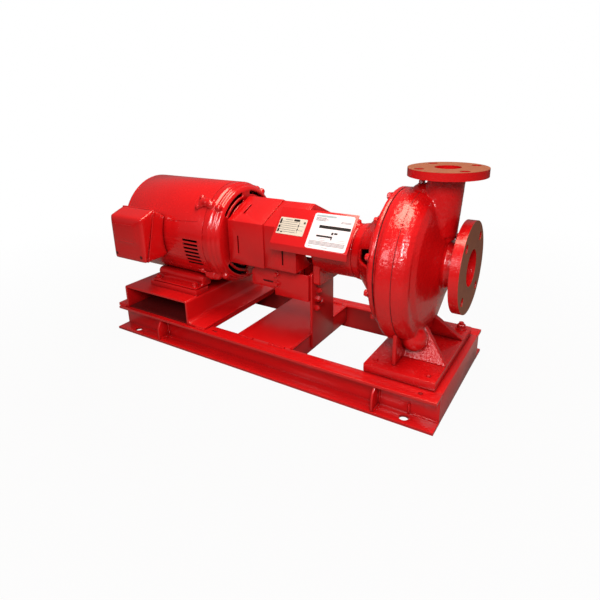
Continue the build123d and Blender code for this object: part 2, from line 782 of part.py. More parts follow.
def volute_body():
    """Scroll of the casing, set a little low so that it opens towards the bottom."""
    x0 = COVER_X1
    x1 = x0 + VOLUTE_WIDTH + 6
    r = VOLUTE_RADIUS
    profile = [(x0 + 6, 0), (x0 + 6, r), (x1, r), (x1, 0)]
    face = make_face(Polyline(profile, close=True))
    back = [v for v in face.vertices() if v.Y > r - 1 and v.X < x0 + 7]
    face = fillet(back, 9.0)
    front = [v for v in face.vertices() if v.Y > r - 1 and v.X > x1 - 1]
    face = fillet(front, 34.0)
    scroll = revolve(Plane.XZ * face, axis=Axis.X)
    return Pos(0, 0, SHAFT_HEIGHT - VOLUTE_DROP) * scroll


def casing_outside():
    """Outer shape of the casing with its two nozzles, not yet hollow."""
    x0 = COVER_X1
    x1 = x0 + VOLUTE_WIDTH + 6
    sx = SUCTION_X
    flange_back = sx - SUCTION_FLANGE_PLATE
    front = turned([
        (x0, 0),
        (x0, COVER_RADIUS),
        (x0 + 9, COVER_RADIUS),
        (x0 + 9, 120),
        (x1 - 1, 120),
        (sx - 60, 62),
        (sx - 50, 62),
        (sx - 47, 56),
        (sx - 44, NECK_RADIUS),
        (flange_back - 4, NECK_RADIUS),
        (flange_back, NECK_RADIUS + 4),
        (flange_back, SUCTION_FLANGE_RADIUS),
        (sx, SUCTION_FLANGE_RADIUS),
        (sx, 0),
    ])
    solid = front + volute_body()
    dx = sx - DISCHARGE_BACK
    z_face = SHAFT_HEIGHT + DISCHARGE_RISE
    z_back = z_face - DISCHARGE_FLANGE_PLATE
    upper = Pos(dx, 0, z_back) * Circle(35.0)
    lower = Pos(dx - 14, 0, SHAFT_HEIGHT + 62) * Circle(41.0)
    neck = loft([lower, upper])
    solid += neck
    solid += rod_z(z_back, z_face, DISCHARGE_FLANGE_RADIUS, dx, 0)
    crown = SHAFT_HEIGHT - VOLUTE_DROP + VOLUTE_RADIUS
    solid += rod_z(crown - 12, crown + 2, PLUG_BOSS_RADIUS, sx - SADDLE_BACK + 2, 0)
    boss_z = DECK_TOP + DRAIN_BOSS_RADIUS + 2
    return solid + Pos(sx - 99, -34, boss_z) * Sphere(DRAIN_BOSS_RADIUS)


def volute_casing(outside):
    """Casing with its end suction nozzle and its top discharge nozzle."""
    x0 = COVER_X1
    x1 = x0 + VOLUTE_WIDTH + 6
    sx = SUCTION_X
    dx = sx - DISCHARGE_BACK
    z_face = SHAFT_HEIGHT + DISCHARGE_RISE
    chamber = turned([
        (x0 - 1, 0),
        (x0 - 1, COVER_SPIGOT_RADIUS + SLIP_GAP),
        (x0 + 8, COVER_SPIGOT_RADIUS + SLIP_GAP),
        (x0 + 8, CHAMBER_RADIUS),
        (x1 - 16, CHAMBER_RADIUS),
        (x1 - 12, 60),
        (x1 + 4, 46),
        (sx - 30, SUCTION_BORE_RADIUS),
        (sx + 1, SUCTION_BORE_RADIUS),
        (sx + 1, 0),
    ])
    solid = outside - chamber
    bend_z = z_face - 46
    solid -= rod_z(bend_z, z_face + 1, DISCHARGE_BORE_RADIUS, dx, 0)
    bore_top = Pos(dx, 0, bend_z + 0.5) * Circle(DISCHARGE_BORE_RADIUS)
    bore_low = Pos(x0 + 30, 0, SHAFT_HEIGHT + 100) * Circle(18.0)
    solid -= loft([bore_low, bore_top])
    circle = SUCTION_BOLT_CIRCLE
    solid = ring_holes(solid, (sx, 0, SHAFT_HEIGHT), circle, FLANGE_HOLE_RADIUS, 4, True, 25)
    circle = DISCHARGE_BOLT_CIRCLE
    return ring_holes(solid, (dx, 0, z_face), circle, FLANGE_HOLE_RADIUS, 4, False, 20)


def saddle(outside):
    """Upright plate with two leaning ribs that carries the casing on the deck."""
    x0 = SUCTION_X - SADDLE_BACK
    x1 = x0 + SADDLE_PLATE
    half = SADDLE_HALF_WIDTH
    solid = block(x0, x1, -half, half, DECK_TOP, SHAFT_HEIGHT - 92)
    top_z = SHAFT_HEIGHT - SADDLE_RIB_TOP_DROP
    reach = (SADDLE_RIB_REACH, SADDLE_RIB_TOP_REACH)
    for side in (-1, 1):
        low_y = side * (SADDLE_RIB_HALF - SADDLE_RIB_PLATE / 2)
        top_y = side * (SADDLE_RIB_TOP_HALF - SADDLE_RIB_PLATE / 2)
        low_face = Pos(x1 + reach[0] / 2, low_y, DECK_TOP) * Rectangle(reach[0], SADDLE_RIB_PLATE)
        top_face = Pos(x1 + reach[1] / 2, top_y, top_z) * Rectangle(reach[1], SADDLE_RIB_PLATE)
        solid += loft([low_face, top_face], ruled=True)
    return solid - outside


def sign_plate():
    """Bent sheet that faces up towards the operator and carries the labels."""
    z = SHAFT_HEIGHT
    a = (-SIGN_LOWER_HALF, z + SIGN_LOWER_RISE)
    b = (-SIGN_UPPER_HALF, z + SIGN_UPPER_RISE)
    run = b[0] - a[0]
    rise = b[1] - a[1]
    slant = math.hypot(run, rise)
    ny = rise / slant * SIGN_SHEET
    nz = -run / slant * SIGN_SHEET
    x0 = GUARD_X1 - SIGN_OVERLAP
    x1 = x0 + SIGN_LENGTH
    sheet = [
        a,
        b,
        (b[0] + ny, b[1] + nz),
        (a[0] + ny, a[1] + nz),
        (a[0] + SIGN_SHEET, a[1] - SIGN_LIP),
        (a[0], a[1] - SIGN_LIP),
    ]
    return along(sheet, x0, x1)


def sign_label(u0, u1, v0, v1):
    """Thin label laid on the sign plate, u along X and v up the slope."""
    z = SHAFT_HEIGHT
    run = SIGN_LOWER_HALF - SIGN_UPPER_HALF
    rise = SIGN_UPPER_RISE - SIGN_LOWER_RISE
    slant = math.hypot(run, rise)
    x0 = GUARD_X1 - SIGN_OVERLAP
    corners = []
    for v, out in ((v0, 0), (v1, 0), (v1, LABEL_SHEET), (v0, LABEL_SHEET)):
        y = -SIGN_LOWER_HALF + run * v - rise / slant * out
        h = z + SIGN_LOWER_RISE + rise * v + run / slant * out
        corners.append((y, h))
    return along(corners, x0 + SIGN_LENGTH * u0, x0 + SIGN_LENGTH * u1)


def sign_stay(x):
    """Round spacer between the guard and the sign plate lip."""
    y1 = -GUARD_HALF_WIDTH + GUARD_SHEET
    y0 = -SIGN_LOWER_HALF + SIGN_SHEET
    return rod_y(y0, y1, STAY_RADIUS, x, SHAFT_HEIGHT + STAY_RISE)


def top_plug():
    """Square-headed plug on top of the casing."""
    x = SUCTION_X - SADDLE_BACK + 2
    z = SHAFT_HEIGHT + VOLUTE_RADIUS - VOLUTE_DROP + 2
    return rod_z(z, z + 8, 8, x, 0) + block(x - 5, x + 5, -5, 5, z + 8, z + 15)


def suction_plug(outside):
    """Gauge plug on the suction neck."""
    x = SUCTION_X - 28.5
    z = SHAFT_HEIGHT + NECK_RADIUS
    solid = rod_z(z - 4, z + 14, 7, x, 0) - outside
    return solid + block(x - 4.5, x + 4.5, -4.5, 4.5, z + 14, z + 20)


OUTSIDE = casing_outside()
NODES = {}
NODES["rail_near"] = rail(-1)
NODES["rail_far"] = rail(1)
NODES["end_channel_motor"] = end_channel(-1)
NODES["end_channel_pump"] = end_channel(1)
NODES["mid_member"] = mid_member()
NODES["stand_bar"] = stand_bar()
NODES["gusset_near_motor"] = gusset(GUSSET_LEFT_X, -1)
NODES["gusset_near_pump"] = gusset(GUSSET_RIGHT_X, -1)
NODES["gusset_far_motor"] = gusset(GUSSET_LEFT_X, 1)
NODES["gusset_far_pump"] = gusset(GUSSET_RIGHT_X, 1)
NODES["pump_deck"] = deck()
NODES["motor_stand"] = motor_stand()
NODES["motor_pad_near"] = motor_pad(-1)
NODES["motor_pad_far"] = motor_pad(1)
NODES["motor_foot_near"] = motor_foot(-1)
NODES["motor_foot_far"] = motor_foot(1)
NODES["motor_frame"] = motor_frame()
NODES["motor_front_shield"] = front_shield()
NODES["motor_rear_shield"] = rear_shield()
NODES["terminal_box_base"] = terminal_base()
NODES["terminal_box_cover"] = terminal_cover()
NODES["motor_shaft"] = motor_shaft()
NODES["pump_shaft"] = pump_shaft()
NODES["coupling_hub_motor"] = coupling_hub(True)
NODES["coupling_hub_pump"] = coupling_hub(False)
NODES["coupling_insert"] = coupling_insert()
NODES["guard_motor_half"] = guard_motor_half()
NODES["guard_pump_half"] = guard_pump_half()
NODES["guard_arm"] = guard_arm()
NODES["guard_arm_bracket"] = arm_bracket()
NODES["bearing_post"] = post()
NODES["bearing_frame"] = bearing_frame()
NODES["bearing_cap"] = bearing_cap()
NODES["adapter_bell"] = adapter()
NODES["casing_cover"] = casing_cover()
NODES["volute_casing"] = volute_casing(OUTSIDE)
NODES["impeller"] = impeller()
NODES["casing_saddle"] = saddle(OUTSIDE)
NODES["sign_plate"] = sign_plate()
NODES["sign_label_small"] = sign_label(0.035, 0.40, 0.27, 0.72)
NODES["sign_label_large"] = sign_label(0.47, 0.97, 0.02, 0.94)
NODES["sign_stay_left"] = sign_stay(GUARD_X1 - STAY_LEFT_FROM_END)
NODES["sign_stay_right"] = sign_stay(GUARD_X1 - STAY_RIGHT_FROM_END)
NODES["casing_top_plug"] = top_plug()
NODES["suction_gauge_plug"] = suction_plug(OUTSIDE)

for node, solid in NODES.items():
    export_step(solid, "parts/" + node + ".step")
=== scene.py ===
"""Dressed model of a base-mounted end suction pump with its electric motor.

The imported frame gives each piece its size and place. This script gives the pieces their
finish, adds the small hardware and sets up a plain studio. All lengths are in metres.
"""

import json
import logging
import math
from collections.abc import Callable
from dataclasses import dataclass
from enum import Enum

import bmesh
import bpy
import numpy as np
from mathutils import Matrix, Vector, noise


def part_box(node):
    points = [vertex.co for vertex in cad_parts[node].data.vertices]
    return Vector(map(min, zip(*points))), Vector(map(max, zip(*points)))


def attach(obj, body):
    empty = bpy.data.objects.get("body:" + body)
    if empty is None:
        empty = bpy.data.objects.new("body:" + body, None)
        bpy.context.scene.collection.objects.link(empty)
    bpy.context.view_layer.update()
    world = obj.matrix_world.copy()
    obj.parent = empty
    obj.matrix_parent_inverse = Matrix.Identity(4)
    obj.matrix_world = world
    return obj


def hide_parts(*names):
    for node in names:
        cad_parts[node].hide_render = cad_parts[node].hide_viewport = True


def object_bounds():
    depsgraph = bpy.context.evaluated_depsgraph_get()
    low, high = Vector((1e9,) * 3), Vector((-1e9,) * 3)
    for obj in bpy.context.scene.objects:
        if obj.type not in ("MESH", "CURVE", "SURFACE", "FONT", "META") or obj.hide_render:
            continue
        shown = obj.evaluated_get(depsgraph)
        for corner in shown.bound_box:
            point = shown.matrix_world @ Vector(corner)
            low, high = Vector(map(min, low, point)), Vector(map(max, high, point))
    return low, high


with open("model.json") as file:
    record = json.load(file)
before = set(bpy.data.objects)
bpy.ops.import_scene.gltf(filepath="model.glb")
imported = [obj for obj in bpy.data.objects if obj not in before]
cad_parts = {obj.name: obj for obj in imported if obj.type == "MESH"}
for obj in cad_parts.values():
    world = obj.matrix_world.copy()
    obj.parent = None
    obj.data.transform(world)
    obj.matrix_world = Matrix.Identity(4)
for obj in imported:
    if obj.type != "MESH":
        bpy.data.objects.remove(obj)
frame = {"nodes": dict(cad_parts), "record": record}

CAD_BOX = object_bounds()
LOG = logging.getLogger("pump")
MM = 0.001
BODY = "root"


class Paint(Enum):
    """Finishes that a piece can ask for."""

    CAST = "cast_enamel"
    ROUGH_CAST = "rough_cast_enamel"
    SHEET = "sheet_enamel"
    MOTOR = "motor_enamel"
    # dark red that paints shade: the stand's tunnel, the strips and bar behind the guard slots, the box screws
    SHADED = "painted_shade_enamel"
    WELD = "weld_enamel"
    FILM = "label_film"
    DULL_FILM = "dull_label_film"
    INK = "label_ink"
    FAINT_INK = "label_faint_ink"
    PALE_INK = "label_pale_ink"
    SHAFT = "ground_shaft_steel"
    HUB = "cast_hub_iron"
    RUBBER = "coupling_rubber"
    BRONZE = "cast_bronze"
    # near-black: the real gasket line of the cover, and painted shade in the crease along the crown
    GASKET_AND_CREASE_SHADE = "gasket_and_crease_shade"


def linear(colour: str) -> tuple[float, float, float, float]:
    """Turn an sRGB hex colour into linear light.

    Args:
        colour: Six hex digits, with or without a leading hash.

    Returns:
        Red, green, blue and an alpha of 1.
    """
    digits = colour.lstrip("#")
    parts = [int(digits[k:k + 2], 16) / 255 for k in (0, 2, 4)]
    light = [p / 12.92 if p <= 0.04045 else ((p + 0.055) / 1.055) ** 2.4 for p in parts]
    return (light[0], light[1], light[2], 1.0)


def add_node(
    tree: bpy.types.NodeTree,
    kind: str,
    settings: dict | None = None,
    links: dict | None = None,
) -> bpy.types.Node:
    """Add a node with its settings and links.

    Args:
        tree: Node tree of a material or of a shape.
        kind: Type name of the node.
        settings: Properties of the node by name.
        links: Inputs by name or number, each a socket to link or a plain value.

    Returns:
        The new node.
    """
    node = tree.nodes.new(kind)
    for name, value in (settings or {}).items():
        setattr(node, name, value)
    for key, value in (links or {}).items():
        if isinstance(value, bpy.types.NodeSocket):
            tree.links.new(value, node.inputs[key])
        else:
            node.inputs[key].default_value = value
    return node


def new_material(name: str) -> tuple[bpy.types.Material, bpy.types.NodeTree]:
    """Make an empty node material and give it with its tree."""
    material = bpy.data.materials.new(name)
    material.use_nodes = True
    material.node_tree.nodes.clear()
    return material, material.node_tree


def output(tree: bpy.types.NodeTree, shader: bpy.types.NodeSocket) -> None:
    """Link a shader to the surface output of a material."""
    add_node(tree, "ShaderNodeOutputMaterial", None, {"Surface": shader})


@dataclass(frozen=True)
class Enamel:
    """Gloss alkyd enamel sprayed over iron or steel.

    It gives the eye a saturated red with soft window highlights. Over sand-cast iron the
    grain of the mould shows through; over rolled sheet it is nearly flat, with orange peel.
    Shade is painted into the red where surfaces meet, and the inside of a shell can be
    painted near-black as shade.
    """

    name: str
    colour: str = "#C50D10"
    deep: str = "#860609"
    grain_mm: float = 4.0
    grain_height_mm: float = 0.05
    pit_mm: float = 1.4
    pit_height_mm: float = 0.0
    roughness: float = 0.24
    coat: float = 0.35
    patch: float = 0.12
    gloss_spread: float = 0.2
    # painted shade: how far the red darkens towards #4A0407 where occlusion says surfaces meet
    painted_corner_shade: float = 0.75
    # painted shade: inside this radius, between from and to along X, the shell is drawn near-black
    shaded_inside_radius: float = 0.0
    shaded_inside_from: float = -10.0
    shaded_inside_to: float = 10.0
    bare_x: float = 10.0
    bare_z: float = 10.0
    bare_reach: float = 0.1
    shaft_z: float = 0.275
    bare_colour: str = "#9A5E3C"
    bare_deep: str = "#7A4630"
    ring_mm: float = 2.4

    def height(self, tree: bpy.types.NodeTree, coords: bpy.types.NodeSocket) -> bpy.types.NodeSocket:
        """Height of the paint skin in metres, from the mould grain and the finer pits."""
        grain = add_node(tree, "ShaderNodeTexNoise", None, {
            "Vector": coords, "Scale": 1 / (self.grain_mm * MM), "Detail": 3.0, "Roughness": 0.55})
        grain_height = add_node(tree, "ShaderNodeMath", {"operation": "MULTIPLY"}, {
            0: grain.outputs["Fac"], 1: self.grain_height_mm})
        pit = add_node(tree, "ShaderNodeTexNoise", None, {
            "Vector": coords, "Scale": 1 / (self.pit_mm * MM), "Detail": 2.0, "Roughness": 0.6})
        pit_height = add_node(tree, "ShaderNodeMath", {"operation": "MULTIPLY"}, {
            0: pit.outputs["Fac"], 1: self.pit_height_mm})
        total = add_node(tree, "ShaderNodeMath", {"operation": "ADD"}, {
            0: grain_height.outputs[0], 1: pit_height.outputs[0]})
        return total.outputs[0]

    def red(self, tree: bpy.types.NodeTree, coords: bpy.types.NodeSocket) -> bpy.types.NodeSocket:
        """Red that varies a little in thickness, with painted shade darkening it where surfaces meet."""
        cloud = add_node(tree, "ShaderNodeTexNoise", None, {
            "Vector": coords, "Scale": 1 / 0.07, "Detail": 2.0})
        amount = add_node(tree, "ShaderNodeMapRange", None, {
            "Value": cloud.outputs["Fac"], "From Min": 0.35, "From Max": 0.7, "To Min": 0.0, "To Max": self.patch})
        tone = add_node(tree, "ShaderNodeMix", {"data_type": "RGBA"}, {
            "Factor": amount.outputs["Result"], 6: linear(self.colour), 7: linear(self.deep)})
        # painted shade: ambient occlusion darkens the red towards #4A0407 in corners and where parts meet
        corner = add_node(tree, "ShaderNodeAmbientOcclusion", {"samples": 6}, {"Distance": 0.022})
        shade = add_node(tree, "ShaderNodeMapRange", None, {
            "Value": corner.outputs["AO"], "From Min": 0.15, "From Max": 0.75,
            "To Min": self.painted_corner_shade, "To Max": 0.0})
        mixed = add_node(tree, "ShaderNodeMix", {"data_type": "RGBA"}, {
            "Factor": shade.outputs["Result"], 6: tone.outputs[2], 7: linear("#4A0407")})
        return mixed.outputs[2]

    def radius(self, tree: bpy.types.NodeTree, coords: bpy.types.NodeSocket) -> bpy.types.NodeSocket:
        """Distance from the shaft line."""
        centred = add_node(tree, "ShaderNodeVectorMath", {"operation": "SUBTRACT"}, {
            0: coords, 1: (0.0, 0.0, self.shaft_z)})
        flat = add_node(tree, "ShaderNodeVectorMath", {"operation": "MULTIPLY"}, {
            0: centred.outputs[0], 1: (0.0, 1.0, 1.0)})
        return add_node(tree, "ShaderNodeVectorMath", {"operation": "LENGTH"}, {
            0: flat.outputs[0]}).outputs["Value"]

    def compare(self, tree: bpy.types.NodeTree, value: bpy.types.NodeSocket, how: str,
                limit: float) -> bpy.types.NodeSocket:
        """One where the value passes the limit, else zero."""
        return add_node(tree, "ShaderNodeMath", {"operation": how}, {0: value, 1: limit}).outputs[0]

    def both(self, tree: bpy.types.NodeTree, how: str, a: bpy.types.NodeSocket,
             b: bpy.types.NodeSocket) -> bpy.types.NodeSocket:
        """Join two masks."""
        return add_node(tree, "ShaderNodeMath", {"operation": how}, {0: a, 1: b}).outputs[0]

    def shaded_inside_mask(self, tree: bpy.types.NodeTree, coords: bpy.types.NodeSocket,
                  axes: bpy.types.Node) -> bpy.types.NodeSocket:
        """Mask of the inside of a shell, drawn near-black: unpainted metal darkened further as painted shade."""
        inside = self.compare(tree, self.radius(tree, coords), "LESS_THAN", self.shaded_inside_radius)
        after = self.compare(tree, axes.outputs["X"], "GREATER_THAN", self.shaded_inside_from)
        before = self.compare(tree, axes.outputs["X"], "LESS_THAN", self.shaded_inside_to)
        span = self.both(tree, "MULTIPLY", after, before)
        return self.both(tree, "MULTIPLY", inside, span)

    def bare_shader(self, tree: bpy.types.NodeTree, coords: bpy.types.NodeSocket) -> bpy.types.NodeSocket:
        """Turned iron face under a thin brown rust-proofing film, matte, with faint turning rings."""
        stain = add_node(tree, "ShaderNodeTexNoise", None, {
            "Vector": coords, "Scale": 1 / 0.018, "Detail": 5.0, "Roughness": 0.6})
        tone = add_node(tree, "ShaderNodeMix", {"data_type": "RGBA"}, {
            "Factor": stain.outputs["Fac"], 6: linear(self.bare_colour), 7: linear(self.bare_deep)})
        rings = add_node(tree, "ShaderNodeMath", {"operation": "SINE"}, {
            0: self.both(tree, "MULTIPLY", self.radius(tree, coords),
                         add_node(tree, "ShaderNodeValue").outputs[0])})
        rings.inputs[0].links[0].from_node.inputs[1].links[0].from_node.outputs[0].default_value = (
            2 * math.pi / (self.ring_mm * MM))
        lift = add_node(tree, "ShaderNodeBump", None, {
            "Height": rings.outputs[0], "Strength": 0.2, "Distance": 0.0001})
        face = add_node(tree, "ShaderNodeBsdfPrincipled", None, {
            "Base Color": tone.outputs[2], "Roughness": 0.55, "Metallic": 0.0, "Normal": lift.outputs[0]})
        return face.outputs[0]

    def make(self) -> bpy.types.Material:
        """Build the material.

        Returns:
            The finished material.
        """
        material, tree = new_material(self.name)
        coords = add_node(tree, "ShaderNodeTexCoord").outputs["Object"]
        axes = add_node(tree, "ShaderNodeSeparateXYZ", None, {"Vector": coords})
        colour = self.red(tree, coords)
        gloss = add_node(tree, "ShaderNodeTexNoise", None, {"Vector": coords, "Scale": 1 / 0.012, "Detail": 3.0})
        rough = add_node(tree, "ShaderNodeMapRange", None, {
            "Value": gloss.outputs["Fac"], "From Min": 0.3, "From Max": 0.7,
            "To Min": self.roughness * (1 - self.gloss_spread), "To Max": self.roughness * (1 + self.gloss_spread)})
        lift = add_node(tree, "ShaderNodeBump", None, {
            "Height": self.height(tree, coords), "Strength": 1.0, "Distance": MM})
        paint = add_node(tree, "ShaderNodeBsdfPrincipled", None, {
            "Base Color": colour, "Roughness": rough.outputs["Result"], "IOR": 1.5,
            "Coat Weight": self.coat, "Coat Roughness": 0.1, "Normal": lift.outputs[0]})
        shader = paint.outputs[0]
        # painted shade: the shell's inside is drawn near-black, darker than its bare metal, so that its slots look dark
        if self.shaded_inside_radius > 0:
            painted_inside_shade = add_node(tree, "ShaderNodeBsdfPrincipled", None, {
                "Base Color": linear("#1B1313"), "Roughness": 0.8})
            shader = add_node(tree, "ShaderNodeMixShader", None, {
                0: self.shaded_inside_mask(tree, coords, axes), 1: shader, 2: painted_inside_shade.outputs[0]}).outputs[0]
        if self.bare_x < 1 or self.bare_z < 1:
            near = self.compare(tree, self.radius(tree, coords), "LESS_THAN", self.bare_reach)
            past = self.compare(tree, axes.outputs["X"], "GREATER_THAN", self.bare_x)
            on_x = self.both(tree, "MULTIPLY", near, past)
            on_z = self.compare(tree, axes.outputs["Z"], "GREATER_THAN", self.bare_z)
            either = self.both(tree, "MAXIMUM", on_x, on_z)
            shader = add_node(tree, "ShaderNodeMixShader", None, {
                0: either, 1: shader, 2: self.bare_shader(tree, coords)}).outputs[0]
        output(tree, shader)
        return material


@dataclass(frozen=True)
class Plain:
    """Small parts' finish: one stuff whose colour and gloss vary a little over the surface."""

    name: str
    colour: str
    other: str
    patch_mm: float
    roughness: float
    metallic: float = 0.0
    bump_mm: float = 0.02

    def make(self) -> bpy.types.Material:
        """Build the material.

        Returns:
            The finished material.
        """
        material, tree = new_material(self.name)
        coords = add_node(tree, "ShaderNodeTexCoord").outputs["Object"]
        patch = add_node(tree, "ShaderNodeTexNoise", None, {
            "Vector": coords, "Scale": 1 / (self.patch_mm * MM), "Detail": 4.0})
        tone = add_node(tree, "ShaderNodeMix", {"data_type": "RGBA"}, {
            "Factor": patch.outputs["Fac"], 6: linear(self.colour), 7: linear(self.other)})
        rough = add_node(tree, "ShaderNodeMapRange", None, {
            "Value": patch.outputs["Fac"], "To Min": self.roughness * 0.8, "To Max": self.roughness * 1.2})
        lift = add_node(tree, "ShaderNodeBump", None, {
            "Height": patch.outputs["Fac"], "Strength": 0.6, "Distance": self.bump_mm * MM})
        face = add_node(tree, "ShaderNodeBsdfPrincipled", None, {
            "Base Color": tone.outputs[2], "Roughness": rough.outputs["Result"],
            "Metallic": self.metallic, "Normal": lift.outputs[0]})
        output(tree, face.outputs[0])
        return material


def mesh_from(points: list, faces: list, name: str) -> bpy.types.Mesh:
    """Make a mesh from points and faces."""
    mesh = bpy.data.meshes.new(name)
    mesh.from_pydata([tuple(p) for p in points], [], faces)
    mesh.update()
    return mesh


def evaluated(piece: bpy.types.Object) -> bpy.types.Mesh:
    """Plain mesh of a piece with its modifiers applied."""
    bpy.context.view_layer.update()
    graph = bpy.context.evaluated_depsgraph_get()
    return bpy.data.meshes.new_from_object(piece.evaluated_get(graph), depsgraph=graph)


def show(mesh: bpy.types.Mesh, name: str) -> bpy.types.Object:
    """Put a mesh into the scene as an object at the origin."""
    piece = bpy.data.objects.new(name, mesh)
    bpy.context.scene.collection.objects.link(piece)
    return piece


def smooth(mesh: bpy.types.Mesh, degrees: float) -> None:
    """Shade a mesh smooth, with a crease where faces meet at more than the angle."""
    mesh.polygons.foreach_set("use_smooth", [True] * len(mesh.polygons))
    mesh.set_sharp_from_angle(angle=math.radians(degrees))


def shape_mesh(shape: bmesh.types.BMesh, name: str) -> bpy.types.Mesh:
    """Write a closed shape to a mesh with its faces outwards."""
    bmesh.ops.recalc_face_normals(shape, faces=shape.faces)
    mesh = bpy.data.meshes.new(name)
    shape.to_mesh(mesh)
    shape.free()
    return mesh


def turned_ring(profile: list[tuple], centre_z: float, name: str, count: int = 96) -> bpy.types.Mesh:
    """Closed ring turned about a line along X.

    Args:
        profile: Corners of the section, each a place along X and a radius in millimetres.
        centre_z: Height of the line in millimetres.
        name: Name of the mesh.
        count: Steps round the line.

    Returns:
        The closed ring.
    """
    points = []
    faces = []
    corners = len(profile)
    for step in range(count):
        turn = 2 * math.pi * step / count
        for x, radius in profile:
            points.append((x * MM, radius * math.cos(turn) * MM, (centre_z + radius * math.sin(turn)) * MM))
    for step in range(count):
        here = step * corners
        there = (step + 1) % count * corners
        for k in range(corners):
            after = (k + 1) % corners
            faces.append((here + k, here + after, there + after, there + k))
    shape = bmesh.new()
    shape.from_mesh(mesh_from(points, faces, name))
    return shape_mesh(shape, name)


def rod(start: tuple, end: tuple, radii: tuple[float, float], name: str, count: int = 24) -> bpy.types.Mesh:
    """Closed rod or cone between two points, in millimetres."""
    first = Vector(start) * MM
    last = Vector(end) * MM
    line = last - first
    place = Matrix.Translation((first + last) / 2) @ line.to_track_quat("Z", "Y").to_matrix().to_4x4()
    shape = bmesh.new()
    bmesh.ops.create_cone(shape, cap_ends=True, segments=count, radius1=radii[0] * MM, radius2=radii[1] * MM,
                          depth=line.length, matrix=place)
    return shape_mesh(shape, name)


def ball(centre: tuple, radii: tuple, name: str) -> bpy.types.Mesh:
    """Closed ball or egg, in millimetres."""
    place = Matrix.Translation(Vector(centre) * MM) @ Matrix.Diagonal((*[r * MM for r in radii], 1.0))
    shape = bmesh.new()
    bmesh.ops.create_icosphere(shape, subdivisions=3, radius=1.0, matrix=place)
    return shape_mesh(shape, name)


def block(low: tuple, high: tuple, name: str) -> bpy.types.Mesh:
    """Closed box between two corners, in millimetres."""
    size = [(b - a) * MM for a, b in zip(low, high)]
    middle = [(a + b) / 2 * MM for a, b in zip(low, high)]
    shape = bmesh.new()
    bmesh.ops.create_cube(shape, size=1.0, matrix=Matrix.Translation(middle) @ Matrix.Diagonal((*size, 1.0)))
    return shape_mesh(shape, name)


def carved(mesh: bpy.types.Mesh, cutters: list[bpy.types.Mesh]) -> bpy.types.Mesh:
    """Mesh with the cutters' room taken out of it."""
    piece = show(mesh, mesh.name + "_uncut")
    tools = [show(cutter, cutter.name + "_tool") for cutter in cutters]
    for tool in tools:
        cut = piece.modifiers.new(tool.name, "BOOLEAN")
        cut.operation = "DIFFERENCE"
        cut.object = tool
    done = evaluated(piece)
    for thing in (piece, *tools):
        bpy.data.objects.remove(thing)
    return done


